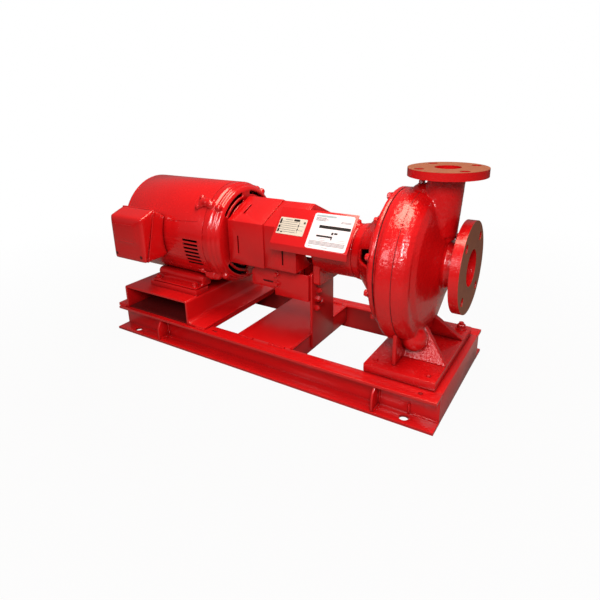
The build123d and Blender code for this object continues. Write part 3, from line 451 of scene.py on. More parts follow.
class Dresser:
    """Turns bare pieces into finished ones and keeps the materials.

    Its finishing methods end with a piece that rides on the body.
    """

    def __init__(self, finishes: dict[Paint, bpy.types.Material]) -> None:
        """Keep the materials by their paint."""
        self.finishes = finishes
        self.slots = {row["node"]: row["material_slot"] for row in frame["record"]["subparts"]}

    def finish(self, piece: bpy.types.Object, paint: bpy.types.Material | Paint, slot: str) -> bpy.types.Object:
        """Give a piece its material and body."""
        material = self.finishes[paint] if isinstance(paint, Paint) else paint
        piece.data.materials.clear()
        piece.data.materials.append(material)
        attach(piece, BODY)
        LOG.info("%s: %d faces", piece.name, len(piece.data.polygons))
        return piece

    def bare_copy(self, node: str, flatten: bool = True) -> bmesh.types.BMesh:
        """Merged copy of a node's mesh, as one closed surface."""
        shape = bmesh.new()
        shape.from_mesh(frame["nodes"][node].data)
        bmesh.ops.remove_doubles(shape, verts=shape.verts, dist=2e-5)
        if flatten:
            bmesh.ops.dissolve_limit(
                shape, angle_limit=math.radians(0.8), verts=shape.verts, edges=shape.edges)
        return shape

    def to_mesh(self, shape: bmesh.types.BMesh, name: str) -> bpy.types.Mesh:
        """Write a shape to a new mesh without the imported normals."""
        mesh = bpy.data.meshes.new(name)
        shape.to_mesh(mesh)
        shape.free()
        for layer in ("custom_normal", "sharp_face", "sharp_edge"):
            if layer in mesh.attributes:
                mesh.attributes.remove(mesh.attributes[layer])
        return mesh

    def eased(self, node: str, paint: bpy.types.Material | Paint, edge_mm: float = 1.0,
              cutters: list[bpy.types.Mesh] | None = None) -> bpy.types.Object:
        """Copy of a node with its edges eased, so that they catch the light.

        Args:
            node: Name of the node that the copy stands for.
            paint: Finish of the copy.
            edge_mm: Width of the eased edges.
            cutters: Shapes of the openings to widen.

        Returns:
            The finished piece.
        """
        mesh = self.to_mesh(self.bare_copy(node), node + "_plain")
        if cutters:
            mesh = carved(mesh, cutters)
        piece = show(mesh, node + "_dressed")
        bevel = piece.modifiers.new("eased edges", "BEVEL")
        bevel.width = edge_mm * MM
        bevel.segments = 2
        bevel.limit_method = "ANGLE"
        bevel.angle_limit = math.radians(38)
        done = evaluated(piece)
        piece.modifiers.clear()
        piece.data = done
        smooth(done, 42)
        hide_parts(node)
        return self.finish(piece, paint, self.slots[node])

    def cast(self, node: str, paint: bpy.types.Material | Paint, voxel_mm: float, passes: int,
             extra: list[bpy.types.Mesh] | None = None, grit: tuple[float, float] = (0.0, 7.0), finer: int = 0,
             machined: Callable[[np.ndarray], np.ndarray] | None = None) -> bpy.types.Object:
        """Copy of a casting with soft roots and edges, as the mould gives them.

        Args:
            node: Name of the node that the copy stands for.
            paint: Finish of the copy.
            voxel_mm: Size of the new faces.
            passes: How often the surface is smoothed.
            extra: More shapes that belong to the casting, such as bosses.
            grit: Height and spread in millimetres of the sand grain on the skin.
            finer: How often the smoothed faces are split again.
            machined: Function that turns the faces true again where they were machined.

        Returns:
            The finished piece.
        """
        shape = self.bare_copy(node, False)
        for mesh in extra or []:
            shape.from_mesh(mesh)
        piece = show(self.to_mesh(shape, node + "_cast"), node + "_cast")
        grid = piece.modifiers.new("even skin", "REMESH")
        grid.mode = "VOXEL"
        grid.voxel_size = voxel_mm * MM
        skin = evaluated(piece)
        piece.modifiers.clear()
        piece.data = skin
        relax = piece.modifiers.new("soft roots", "SMOOTH")
        relax.factor = 0.5
        relax.iterations = passes
        if finer:
            split = piece.modifiers.new("finer skin", "SUBSURF")
            split.levels = finer
            split.render_levels = finer
        done = evaluated(piece)
        piece.modifiers.clear()
        piece.data = done
        if grit[0] > 0:
            self.sand(done, *grit)
        if machined:
            places = np.empty(len(done.vertices) * 3)
            done.vertices.foreach_get("co", places)
            done.vertices.foreach_set("co", machined(places.reshape(-1, 3)).ravel())
        self.keep_inside(done, node, extra)
        smooth(done, 50)
        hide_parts(node)
        return self.finish(piece, paint, self.slots[node])

    def sand(self, mesh: bpy.types.Mesh, height_mm: float, spread_mm: float) -> None:
        """Raise and sink the skin as the sand of the mould left it."""
        normals = [v.normal.copy() for v in mesh.vertices]
        for vertex, normal in zip(mesh.vertices, normals):
            spot = vertex.co / (spread_mm * MM)
            rise = noise.noise(spot) + 0.6 * noise.noise(spot * 1.9)
            vertex.co += normal * (rise * height_mm * MM)

    def keep_inside(self, mesh: bpy.types.Mesh, node: str, extra: list | None) -> None:
        """Hold a casting's skin to the box of its node, or of the whole part where it has bosses."""
        low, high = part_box(node) if not extra else CAD_BOX
        places = np.empty(len(mesh.vertices) * 3)
        mesh.vertices.foreach_get("co", places)
        places = np.clip(places.reshape(-1, 3), np.array(low), np.array(high))
        mesh.vertices.foreach_set("co", places.ravel())
        mesh.update()

    def kept(self, node: str, paint: bpy.types.Material | Paint) -> None:
        """Give a node that stays its material."""
        material = self.finishes[paint] if isinstance(paint, Paint) else paint
        piece = frame["nodes"][node]
        for place in piece.material_slots:
            place.material = material
        LOG.info("%s: kept", node)


@dataclass(frozen=True)
class Bolt:
    """Sizes of one kind of hexagon bolt head or nut with its washer, in millimetres."""

    across_flats: float
    head: float
    washer: float
    washer_thickness: float = 1.6
    stub: float = 0.0
    stub_radius: float = 0.0


class BoltSet:
    """Bolts made by one node tree that sets a head, washer and stub on each point."""

    INPUTS = ("Head radius", "Head height", "Washer radius", "Washer thickness", "Stub height", "Stub radius")

    def __init__(self, dresser: Dresser) -> None:
        """Build the tree once."""
        self.dresser = dresser
        self.tree = bpy.data.node_groups.new("bolts on points", "GeometryNodeTree")
        self.tree.is_modifier = True
        face = self.tree.interface
        face.new_socket(name="Points", in_out="INPUT", socket_type="NodeSocketGeometry")
        self.keys = {}
        for name in self.INPUTS:
            self.keys[name] = face.new_socket(name=name, in_out="INPUT", socket_type="NodeSocketFloat").identifier
        self.keys["Material"] = face.new_socket(
            name="Material", in_out="INPUT", socket_type="NodeSocketMaterial").identifier
        face.new_socket(name="Bolts", in_out="OUTPUT", socket_type="NodeSocketGeometry")
        self.wire()

    def part(self, kind: str, sides: int, links: dict, lift: bpy.types.NodeSocket) -> bpy.types.NodeSocket:
        """One round or hexagonal part of a bolt, raised to its place."""
        links = dict(links)
        links["Vertices"] = sides
        body = add_node(self.tree, kind, None, links)
        place = add_node(self.tree, "ShaderNodeCombineXYZ", None, {"Z": lift})
        moved = add_node(self.tree, "GeometryNodeTransform", None, {
            "Geometry": body.outputs["Mesh"], "Translation": place.outputs[0]})
        return moved.outputs[0]

    def maths(self, how: str, a: bpy.types.NodeSocket | float, b: bpy.types.NodeSocket | float) -> bpy.types.NodeSocket:
        """One sum in the tree."""
        return add_node(self.tree, "ShaderNodeMath", {"operation": how}, {0: a, 1: b}).outputs[0]

    def wire(self) -> None:
        """Link the tree from its points to its realized bolts."""
        tree = self.tree
        start = add_node(tree, "NodeGroupInput").outputs
        seat = self.maths("MULTIPLY", start["Washer thickness"], 0.5)
        body = self.maths("MULTIPLY", start["Head height"], 0.78)
        crown = self.maths("MULTIPLY", start["Head height"], 0.22)
        body_z = self.maths("ADD", start["Washer thickness"], self.maths("MULTIPLY", body, 0.5))
        crown_z = self.maths("ADD", start["Washer thickness"], body)
        stub_z = self.maths("ADD", crown_z, self.maths("MULTIPLY", start["Stub height"], 0.5))
        washer = self.part("GeometryNodeMeshCylinder", 24, {
            "Radius": start["Washer radius"], "Depth": start["Washer thickness"]}, seat)
        head = self.part("GeometryNodeMeshCylinder", 6, {
            "Radius": start["Head radius"], "Depth": body}, body_z)
        top = self.part("GeometryNodeMeshCone", 6, {
            "Radius Bottom": start["Head radius"], "Depth": crown,
            "Radius Top": self.maths("MULTIPLY", start["Head radius"], 0.84)}, crown_z)
        stub = self.part("GeometryNodeMeshCylinder", 16, {
            "Radius": start["Stub radius"], "Depth": start["Stub height"]}, stub_z)
        joined = add_node(tree, "GeometryNodeJoinGeometry")
        for piece in (washer, head, top, stub):
            tree.links.new(piece, joined.inputs[0])
        facing = add_node(tree, "GeometryNodeInputNamedAttribute", {"data_type": "FLOAT_VECTOR"}, {"Name": "facing"})
        aligned = add_node(tree, "FunctionNodeAlignRotationToVector", {"axis": "Z"}, {
            "Vector": facing.outputs["Attribute"]})
        turn = add_node(tree, "FunctionNodeRandomValue", {"data_type": "FLOAT"}, {"Seed": 7})
        turn.inputs[3].default_value = math.pi
        spin = add_node(tree, "ShaderNodeCombineXYZ", None, {"Z": turn.outputs[1]})
        spun = add_node(tree, "FunctionNodeRotateRotation", {"rotation_space": "LOCAL"}, {
            "Rotation": aligned.outputs[0], 1: spin.outputs[0]})
        placed = add_node(tree, "GeometryNodeInstanceOnPoints", None, {
            "Points": start["Points"], "Instance": joined.outputs[0], "Rotation": spun.outputs[0]})
        real = add_node(tree, "GeometryNodeRealizeInstances", None, {0: placed.outputs[0]})
        painted = add_node(tree, "GeometryNodeSetMaterial", None, {
            "Geometry": real.outputs[0], "Material": start["Material"]})
        add_node(tree, "NodeGroupOutput", None, {0: painted.outputs[0]})

    def place(self, name: str, bolt: Bolt, seats: list[tuple], facing: tuple, paint: Paint, slot: str) -> bpy.types.Object:
        """Set bolts on their seats.

        Args:
            name: Name of the piece.
            bolt: Sizes of the bolts.
            seats: Places in metres where the washers sit.
            facing: Direction in which the heads point.
            paint: Finish of the bolts.
            slot: Material slot of the piece; not used.

        Returns:
            The finished piece.
        """
        points = bpy.data.meshes.new(name)
        points.from_pydata(seats, [], [])
        layer = points.attributes.new("facing", "FLOAT_VECTOR", "POINT")
        layer.data.foreach_set("vector", list(facing) * len(seats))
        piece = show(points, name)
        tree = piece.modifiers.new("bolts", "NODES")
        tree.node_group = self.tree
        sizes = {
            "Head radius": bolt.across_flats / 2 / math.cos(math.pi / 6), "Head height": bolt.head,
            "Washer radius": bolt.washer / 2, "Washer thickness": bolt.washer_thickness,
            "Stub height": max(bolt.stub, 0.01), "Stub radius": max(bolt.stub_radius, 0.01)}
        for key, value in sizes.items():
            tree[self.keys[key]] = value * MM
        tree[self.keys["Material"]] = self.dresser.finishes[paint]
        done = evaluated(piece)
        piece.modifiers.clear()
        piece.data = done
        smooth(done, 35)
        return self.dresser.finish(piece, paint, slot)


class BeadSet:
    """Weld beads and moulded ridges made by one node tree that follows a path."""

    def __init__(self, dresser: Dresser) -> None:
        """Build the tree once."""
        self.dresser = dresser
        tree = bpy.data.node_groups.new("bead along path", "GeometryNodeTree")
        tree.is_modifier = True
        face = tree.interface
        face.new_socket(name="Path", in_out="INPUT", socket_type="NodeSocketGeometry")
        self.keys = {}
        for name in ("Radius", "Step", "Ripple"):
            self.keys[name] = face.new_socket(name=name, in_out="INPUT", socket_type="NodeSocketFloat").identifier
        self.keys["Material"] = face.new_socket(
            name="Material", in_out="INPUT", socket_type="NodeSocketMaterial").identifier
        face.new_socket(name="Bead", in_out="OUTPUT", socket_type="NodeSocketGeometry")
        start = add_node(tree, "NodeGroupInput").outputs
        curve = add_node(tree, "GeometryNodeMeshToCurve", None, {"Mesh": start["Path"]})
        even = add_node(tree, "GeometryNodeResampleCurve", {"mode": "LENGTH"}, {
            "Curve": curve.outputs[0], "Length": start["Step"]})
        ring = add_node(tree, "GeometryNodeCurvePrimitiveCircle", None, {
            "Resolution": 8, "Radius": start["Radius"]})
        tube = add_node(tree, "GeometryNodeCurveToMesh", None, {
            "Curve": even.outputs[0], "Profile Curve": ring.outputs[0], "Fill Caps": True})
        noise = add_node(tree, "ShaderNodeTexNoise", None, {"Scale": 260.0, "Detail": 1.0})
        centred = add_node(tree, "ShaderNodeVectorMath", {"operation": "SUBTRACT"}, {
            0: noise.outputs["Color"], 1: (0.5, 0.5, 0.5)})
        size = add_node(tree, "ShaderNodeVectorMath", {"operation": "SCALE"}, {
            0: centred.outputs[0], "Scale": start["Ripple"]})
        rough = add_node(tree, "GeometryNodeSetPosition", None, {
            "Geometry": tube.outputs[0], "Offset": size.outputs[0]})
        real = add_node(tree, "GeometryNodeRealizeInstances", None, {0: rough.outputs[0]})
        painted = add_node(tree, "GeometryNodeSetMaterial", None, {
            "Geometry": real.outputs[0], "Material": start["Material"]})
        add_node(tree, "NodeGroupOutput", None, {0: painted.outputs[0]})
        self.tree = tree

    def lay(self, name: str, paths: list[list[tuple]], radius_mm: float, ripple_mm: float, paint: Paint,
            slot: str, step_mm: float = 2.0, closed: bool = False) -> bpy.types.Object:
        """Lay beads along paths.

        Args:
            name: Name of the piece.
            paths: Lists of points in metres.
            radius_mm: Half the width of the bead.
            ripple_mm: How far the skin wanders.
            paint: Finish of the bead.
            slot: Material slot of the piece; not used.
            step_mm: Length of one step of the bead.
            closed: Whether each path is a ring.

        Returns:
            The finished piece.
        """
        piece = show(self.path_mesh(name, paths, closed), name)
        tree = piece.modifiers.new("bead", "NODES")
        tree.node_group = self.tree
        for key, value in (("Radius", radius_mm), ("Step", step_mm), ("Ripple", ripple_mm)):
            tree[self.keys[key]] = value * MM
        tree[self.keys["Material"]] = self.dresser.finishes[paint]
        done = evaluated(piece)
        piece.modifiers.clear()
        piece.data = done
        smooth(done, 60)
        return self.dresser.finish(piece, paint, slot)

    def path_mesh(self, name: str, paths: list[list[tuple]], closed: bool) -> bpy.types.Mesh:
        """Edges that join the points of each path."""
        points = []
        edges = []
        for path in paths:
            first = len(points)
            points.extend(path)
            edges.extend((first + k, first + k + 1) for k in range(len(path) - 1))
            if closed:
                edges.append((first + len(path) - 1, first))
        mesh = bpy.data.meshes.new(name)
        mesh.from_pydata(points, edges, [])
        return mesh


def ring_points(x: float, radius: float, centre_z: float, count: int, start: float = 0.0) -> list[tuple]:
    """Evenly spaced points on a circle round a line along X."""
    points = []
    for number in range(count):
        turn = 2 * math.pi * number / count + math.radians(start)
        points.append((x, radius * math.cos(turn), centre_z + radius * math.sin(turn)))
    return points


@dataclass
class BaseFrame:
    """Welded base: rails, end channels, mid member, bar, gussets and the pump deck."""

    dresser: Dresser
    beads: BeadSet
    edge_mm: float = 1.2
    weld_mm: float = 3.0

    def build(self) -> None:
        """Dress the base and lay its welds."""
        plates = ("rail_near", "rail_far", "end_channel_motor", "end_channel_pump", "mid_member",
                  "stand_bar", "gusset_near_motor", "gusset_near_pump", "gusset_far_motor", "gusset_far_pump")
        for node in plates:
            self.dresser.eased(node, Paint.SHEET, self.edge_mm)
        self.dresser.eased("pump_deck", Paint.CAST, 2.5)
        self.welds()

    def welds(self) -> None:
        """Beads along the gusset feet, the mid member, the post foot and the rail ends."""
        paths = []
        for node in ("gusset_near_motor", "gusset_near_pump", "gusset_far_motor", "gusset_far_pump"):
            low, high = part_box(node)
            side = -1 if high.y < 0 else 1
            outer = low.y if side < 0 else high.y
            inner = high.y if side < 0 else low.y
            paths.append([(high.x, outer - side * 0.003, low.z), (high.x, inner, low.z), (high.x, inner, high.z)])
            paths.append([(low.x, outer - side * 0.003, low.z), (low.x, inner, low.z), (low.x, inner, high.z)])
        low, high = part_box("mid_member")
        post_low, post_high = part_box("bearing_post")
        top = high.z
        for side in (-1, 1):
            y = side * high.y
            paths.append([(low.x + 0.012, y, top), (low.x + 0.05, y, top)])
            paths.append([(high.x - 0.06, y, top), (high.x - 0.015, y, top)])
            paths.append([(high.x, side * (high.y - 0.004), top - 0.001), (high.x, side * post_high.y, top - 0.001)])
        paths.append([(post_low.x, post_low.y, top), (post_low.x, post_high.y, top)])
        channel_low, channel_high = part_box("end_channel_pump")
        for side in (-1, 1):
            y = side * (channel_high.y + 0.0065)
            paths.append([(channel_low.x - 0.03, y, 0.0065), (channel_high.x - 0.002, y, 0.0065)])
            paths.append([(channel_low.x - 0.04, y, 0.008), (channel_low.x - 0.04, y, 0.03)])
        stand_low, stand_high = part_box("motor_stand")
        for y in (stand_low.y, stand_high.y):
            paths.append([(stand_high.x - 0.03, y, top + 0.0005), (stand_high.x, y, top + 0.0005)])
            paths.append([(stand_low.x + 0.004, y, top + 0.0005), (stand_low.x + 0.032, y, top + 0.0005)])
        self.beads.lay("base_welds", paths, self.weld_mm, 2.2, Paint.WELD, "base_paint", 2.4)


@dataclass
class MotorStand:
    """Folded stand, the plate that closes it from below and the two flat pads on it."""

    dresser: Dresser
    left_mm: float = 42.0
    right_mm: float = 62.0
    floor_mm: float = 3.0

    def build(self) -> None:
        """Dress the stand."""
        self.dresser.eased("motor_stand", Paint.SHEET, 1.2)
        for node in ("motor_pad_near", "motor_pad_far"):
            self.dresser.eased(node, Paint.SHEET, 1.0)
        self.floor()

    def floor(self) -> None:
        """Thin plate between the stand's feet, in dark red as painted shade, which makes its tunnel dark."""
        low, high = (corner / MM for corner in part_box("motor_stand"))
        # painted shade: this dark plate darkens the tunnel under the stand
        plate = block((low.x + self.left_mm, low.y + 4, low.z + 0.4),
                      (high.x - self.right_mm, high.y - 4, low.z + self.floor_mm), "stand_floor")
        self.dresser.finish(show(plate, "stand_floor"), Paint.SHADED, "base_paint")


@dataclass
class Motor:
    """Electric motor: feet, rolled shell, shields and terminal box."""

    dresser: Dresser
    bolts: BoltSet
    beads: BeadSet
    foot_bolt: Bolt = Bolt(13.0, 7.0, 20.0)
    ear_bolt: Bolt = Bolt(10.0, 6.0, 13.0, 1.0)
    box_screw: Bolt = Bolt(4.0, 0.8, 8.5, 0.5)
    shaft_mm: float = 275.0
    slot_count: int = 7
    slot_pitch_mm: float = 10.5
    slot_length_mm: float = 48.0
    slot_height_mm: float = 5.8
    slot_back_mm: float = 17.5
    rim_low_mm: float = 16.0
    panel_mm: tuple[float, float] = (62.0, 44.0)

    def build(self) -> None:
        """Dress the motor and add its hardware."""
        shell_low, shell_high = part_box("motor_frame")
        shield_low, shield_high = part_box("motor_front_shield")
        radius = shell_high.y
        # the shell and shields paint their insides near-black as shade
        shell_paint = Enamel("motor_shell_enamel", grain_mm=22.0, grain_height_mm=0.05, roughness=0.24,
                             shaded_inside_radius=radius - 0.0025).make()
        self.dresser.eased("motor_frame", shell_paint, 0.8, self.louvres(shell_high, radius / MM))
        shield_paint = Enamel("shield_enamel", grain_mm=7.0, grain_height_mm=0.2, roughness=0.2,
                              shaded_inside_radius=radius - 0.012, shaded_inside_from=shell_high.x - 0.001,
                              shaded_inside_to=shield_high.x - 0.0125).make()
        ears = self.ear_lumps(shell_high.x / MM, radius / MM)
        self.dresser.cast("motor_front_shield", shield_paint, 1.9, 3, ears)
        rear_low, rear_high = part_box("motor_rear_shield")
        rear_paint = Enamel("rear_shield_enamel", grain_mm=7.0, grain_height_mm=0.12, roughness=0.2,
                            shaded_inside_radius=radius - 0.019, shaded_inside_from=rear_low.x + 0.0055,
                            shaded_inside_to=rear_high.x + 0.001).make()
        self.dresser.cast("motor_rear_shield", rear_paint, 2.0, 3)
        for node in ("motor_foot_near", "motor_foot_far"):
            self.dresser.cast(node, Paint.MOTOR, 2.6, 5, finer=1)
        self.terminal_box()
        self.hardware(shell_high, radius)

    def louvres(self, shell_high: Vector, radius: float) -> list[bpy.types.Mesh]:
        """Openings that widen the shell's air slots to their pressed lips, low on both sides."""
        end = shell_high.x / MM - self.slot_back_mm
        cutters = []
        for number in range(self.slot_count):
            middle = self.shaft_mm + 1 - number * self.slot_pitch_mm
            half = self.slot_height_mm / 2
            for side in (-1, 1):
                near, far = sorted((side * 70.0, side * (radius + 2)))
                low = (end - self.slot_length_mm - 0.5, near, middle - half)
                cutters.append(block(low, (end + 0.5, far, middle + half), f"louvre_{side}_{number}"))
        return cutters

    def ear_lumps(self, joint_x: float, radius: float) -> list[bpy.types.Mesh]:
        """Knobs and a short rib that back each bolt ear of the front shield."""
        lumps = []
        for quarter in range(4):
            for x, lift, turn, size in ((-30, 1, 6, 8.0), (-30, 1, -6, 8.0), (-20, 1, 3, 9.0),
                                        (-6, 3, 0, 12.0), (8, 0, 2, 11.0), (29, -5, 3, 9.0)):
                angle = math.radians(45 + 90 * quarter + turn)
                y = (radius + lift) * math.cos(angle)
                z = self.shaft_mm + (radius + lift) * math.sin(angle)
                lumps.append(ball((joint_x + x, y, z), (size, size, size), f"ear_{quarter}_{x}_{turn}"))
        return lumps

    def hardware(self, shell_high: Vector, radius: float) -> None:
        """Bolts in the feet and in the shields' ears, and the side seam of the shell."""
        foot_low, foot_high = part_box("motor_foot_near")
        shaft_z = (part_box("motor_shaft")[0].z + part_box("motor_shaft")[1].z) / 2
        seats = []
        for side in (-1, 1):
            for x in (foot_low.x + 0.016, foot_high.x - 0.016):
                seats.append((x, side * (abs(foot_low.y) - 0.0125), foot_low.z + 0.006))
        self.bolts.place("motor_foot_bolts", self.foot_bolt, seats, (0, 0, 1), Paint.MOTOR, "motor_paint")
        ears = ring_points(shell_high.x - 0.022, radius + 0.001, shaft_z, 4, 45)
        self.bolts.place("shield_bolts", self.ear_bolt, ears, (-1, 0, 0), Paint.MOTOR, "motor_paint")
        seam = []
        for step in range(9):
            rise = 0.0435 + 0.001 * step
            reach = math.sqrt((radius + 0.0001) ** 2 - rise ** 2)
            seam.append((shell_high.x - 0.118 + 0.0125 * step, -reach, shaft_z + rise))
        self.beads.lay("shell_seam", [seam], 0.9, 0.1, Paint.MOTOR, "motor_paint", 3.0)

    def terminal_box(self) -> None:
        """Terminal box with its rounded cover, rim, bare raised frame and corner screws."""
        self.dresser.cast("terminal_box_base", Paint.MOTOR, 3.2, 5, finer=1)
        low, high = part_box("terminal_box_cover")
        knob = ball((high.x / MM - 9, high.y / MM - 4, high.z / MM - 7), (8, 6, 7), "cover_knob")
        self.dresser.cast("terminal_box_cover", Paint.MOTOR, 4.2, 15, [knob], finer=1)
        top = (high.y - 0.001, high.z - 0.0035)
        foot = (low.y + self.rim_low_mm * MM, low.z + 0.0035)
        left = low.x + 0.003
        right = high.x - 0.003
        rim = [(left, *foot), (right, *foot), (right, *top), (left, *top)]
        self.beads.lay("box_rim", [rim], 2.4, 0.8, Paint.MOTOR, "motor_paint", 5.0, True)
        middle = (low.x + high.x) / 2 - 0.004
        top = high.z - 0.036
        foot = top - self.panel_mm[1] * MM
        half = self.panel_mm[0] * MM / 2
        panel = block(((middle - half) / MM, low.y / MM + 0.6, foot / MM),
                      ((middle + half) / MM, low.y / MM + 4, top / MM), "box_panel")
        self.dresser.finish(show(panel, "box_panel"), Paint.MOTOR, "motor_paint")
        face = low.y + 0.0014
        frame_path = [(middle - half, face, top), (middle + half, face, top),
                      (middle + half, face, foot), (middle - half, face, foot)]
        self.beads.lay("box_frame", [frame_path], 1.3, 0.3, Paint.MOTOR, "motor_paint", 3.0, True)
        # painted shade: the corner screws are drawn dark, as shade in their recesses
        seats = [(x, low.y + 0.0022, low.z + 0.017) for x in (low.x + 0.014, high.x - 0.014)]
        self.bolts.place("box_screws", self.box_screw, seats, (0, -1, 0), Paint.SHADED, "motor_paint")


@dataclass
class ShaftLine:
    """Shafts, hubs and rubber insert that show below the guard."""

    dresser: Dresser

    def build(self) -> None:
        """Give the turning pieces their finish."""
        for node in ("motor_shaft", "pump_shaft"):
            self.dresser.kept(node, Paint.SHAFT)
        for node in ("coupling_hub_motor", "coupling_hub_pump"):
            self.dresser.eased(node, Paint.HUB, 2.0)
        self.dresser.eased("coupling_insert", Paint.RUBBER, 2.0)
        self.dresser.eased("impeller", Paint.BRONZE, 1.5)


@dataclass
class Guard:
    """Folded sheet guard with its slotted arm and bracket."""

    dresser: Dresser
    bolts: BoltSet
    arm_bolt: Bolt = Bolt(10.0, 6.0, 18.0, 1.4)
    nut: Bolt = Bolt(13.0, 9.0, 18.0, 1.6, 5.0, 4.0)
    sheet_mm: float = 2.0
    slot_mm: float = 36.0
    slot_low_mm: float = 234.0
    slot_high_mm: float = 292.0

    def mirrored(self, node: str) -> None:
        """Far side twin of a piece, which the photograph hides."""
        shape = self.dresser.bare_copy(node)
        bmesh.ops.scale(shape, vec=(1, -1, 1), verts=shape.verts)
        bmesh.ops.recalc_face_normals(shape, faces=shape.faces)
        twin = show(self.dresser.to_mesh(shape, node + "_far"), node + "_far")
        self.dresser.finish(twin, Paint.SHEET, "guard_paint")

    def build(self) -> None:
        """Dress the guard and bolt it up."""
        for node in ("guard_motor_half", "guard_pump_half"):
            self.dresser.eased(node, Paint.SHEET, 0.7)
        for node in ("guard_arm", "guard_arm_bracket"):
            self.dresser.eased(node, Paint.SHEET, 0.6)
            self.mirrored(node)
        arm_low, arm_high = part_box("guard_arm")
        bracket_low, bracket_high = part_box("guard_arm_bracket")
        lap_x = (bracket_low.x + arm_high.x) / 2
        face_y = bracket_low.y
        seats = [(lap_x, face_y, arm_low.z + 0.038), (lap_x, face_y, arm_low.z + 0.014)]
        self.bolts.place("guard_arm_bolts", self.arm_bolt, seats, (0, -1, 0), Paint.SHEET, "guard_paint")
        half_low, half_high = (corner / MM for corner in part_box("guard_pump_half"))
        slot_x = half_high.x - self.slot_mm
        # painted shade: dark strips behind the pump half's side slots, so that the slots show shade
        for side, name in ((-1, "near"), (1, "far")):
            wall = half_high.y - 2 * self.sheet_mm
            y0, y1 = sorted((side * wall, side * (wall - self.sheet_mm)))
            strip = block((slot_x - 9, y0, self.slot_low_mm), (slot_x + 9, y1, self.slot_high_mm), "guard_strip_" + name)
            self.dresser.finish(show(strip, "guard_strip_" + name), Paint.SHADED, "guard_paint")
        # painted shade: a dark bar behind the arm's slot, so that the slot shows shade instead of the floor
        bar = block((arm_low.x / MM + 30, arm_high.y / MM + 0.2, arm_low.z / MM + 9),
                    (arm_low.x / MM + 68, arm_high.y / MM + 3.2, arm_low.z / MM + 22), "arm_slot_shade_bar")
        self.dresser.finish(show(bar, "arm_slot_shade_bar"), Paint.SHADED, "guard_paint")
        post_low, post_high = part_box("bearing_post")
        nuts = [(post_high.x, y * MM, z * MM) for y, z in ((-29, 172), (-20, 141), (-39, 130), (-34, 152))]
        self.bolts.place("bracket_nuts", self.nut, nuts, (1, 0, 0), Paint.SHEET, "guard_paint")


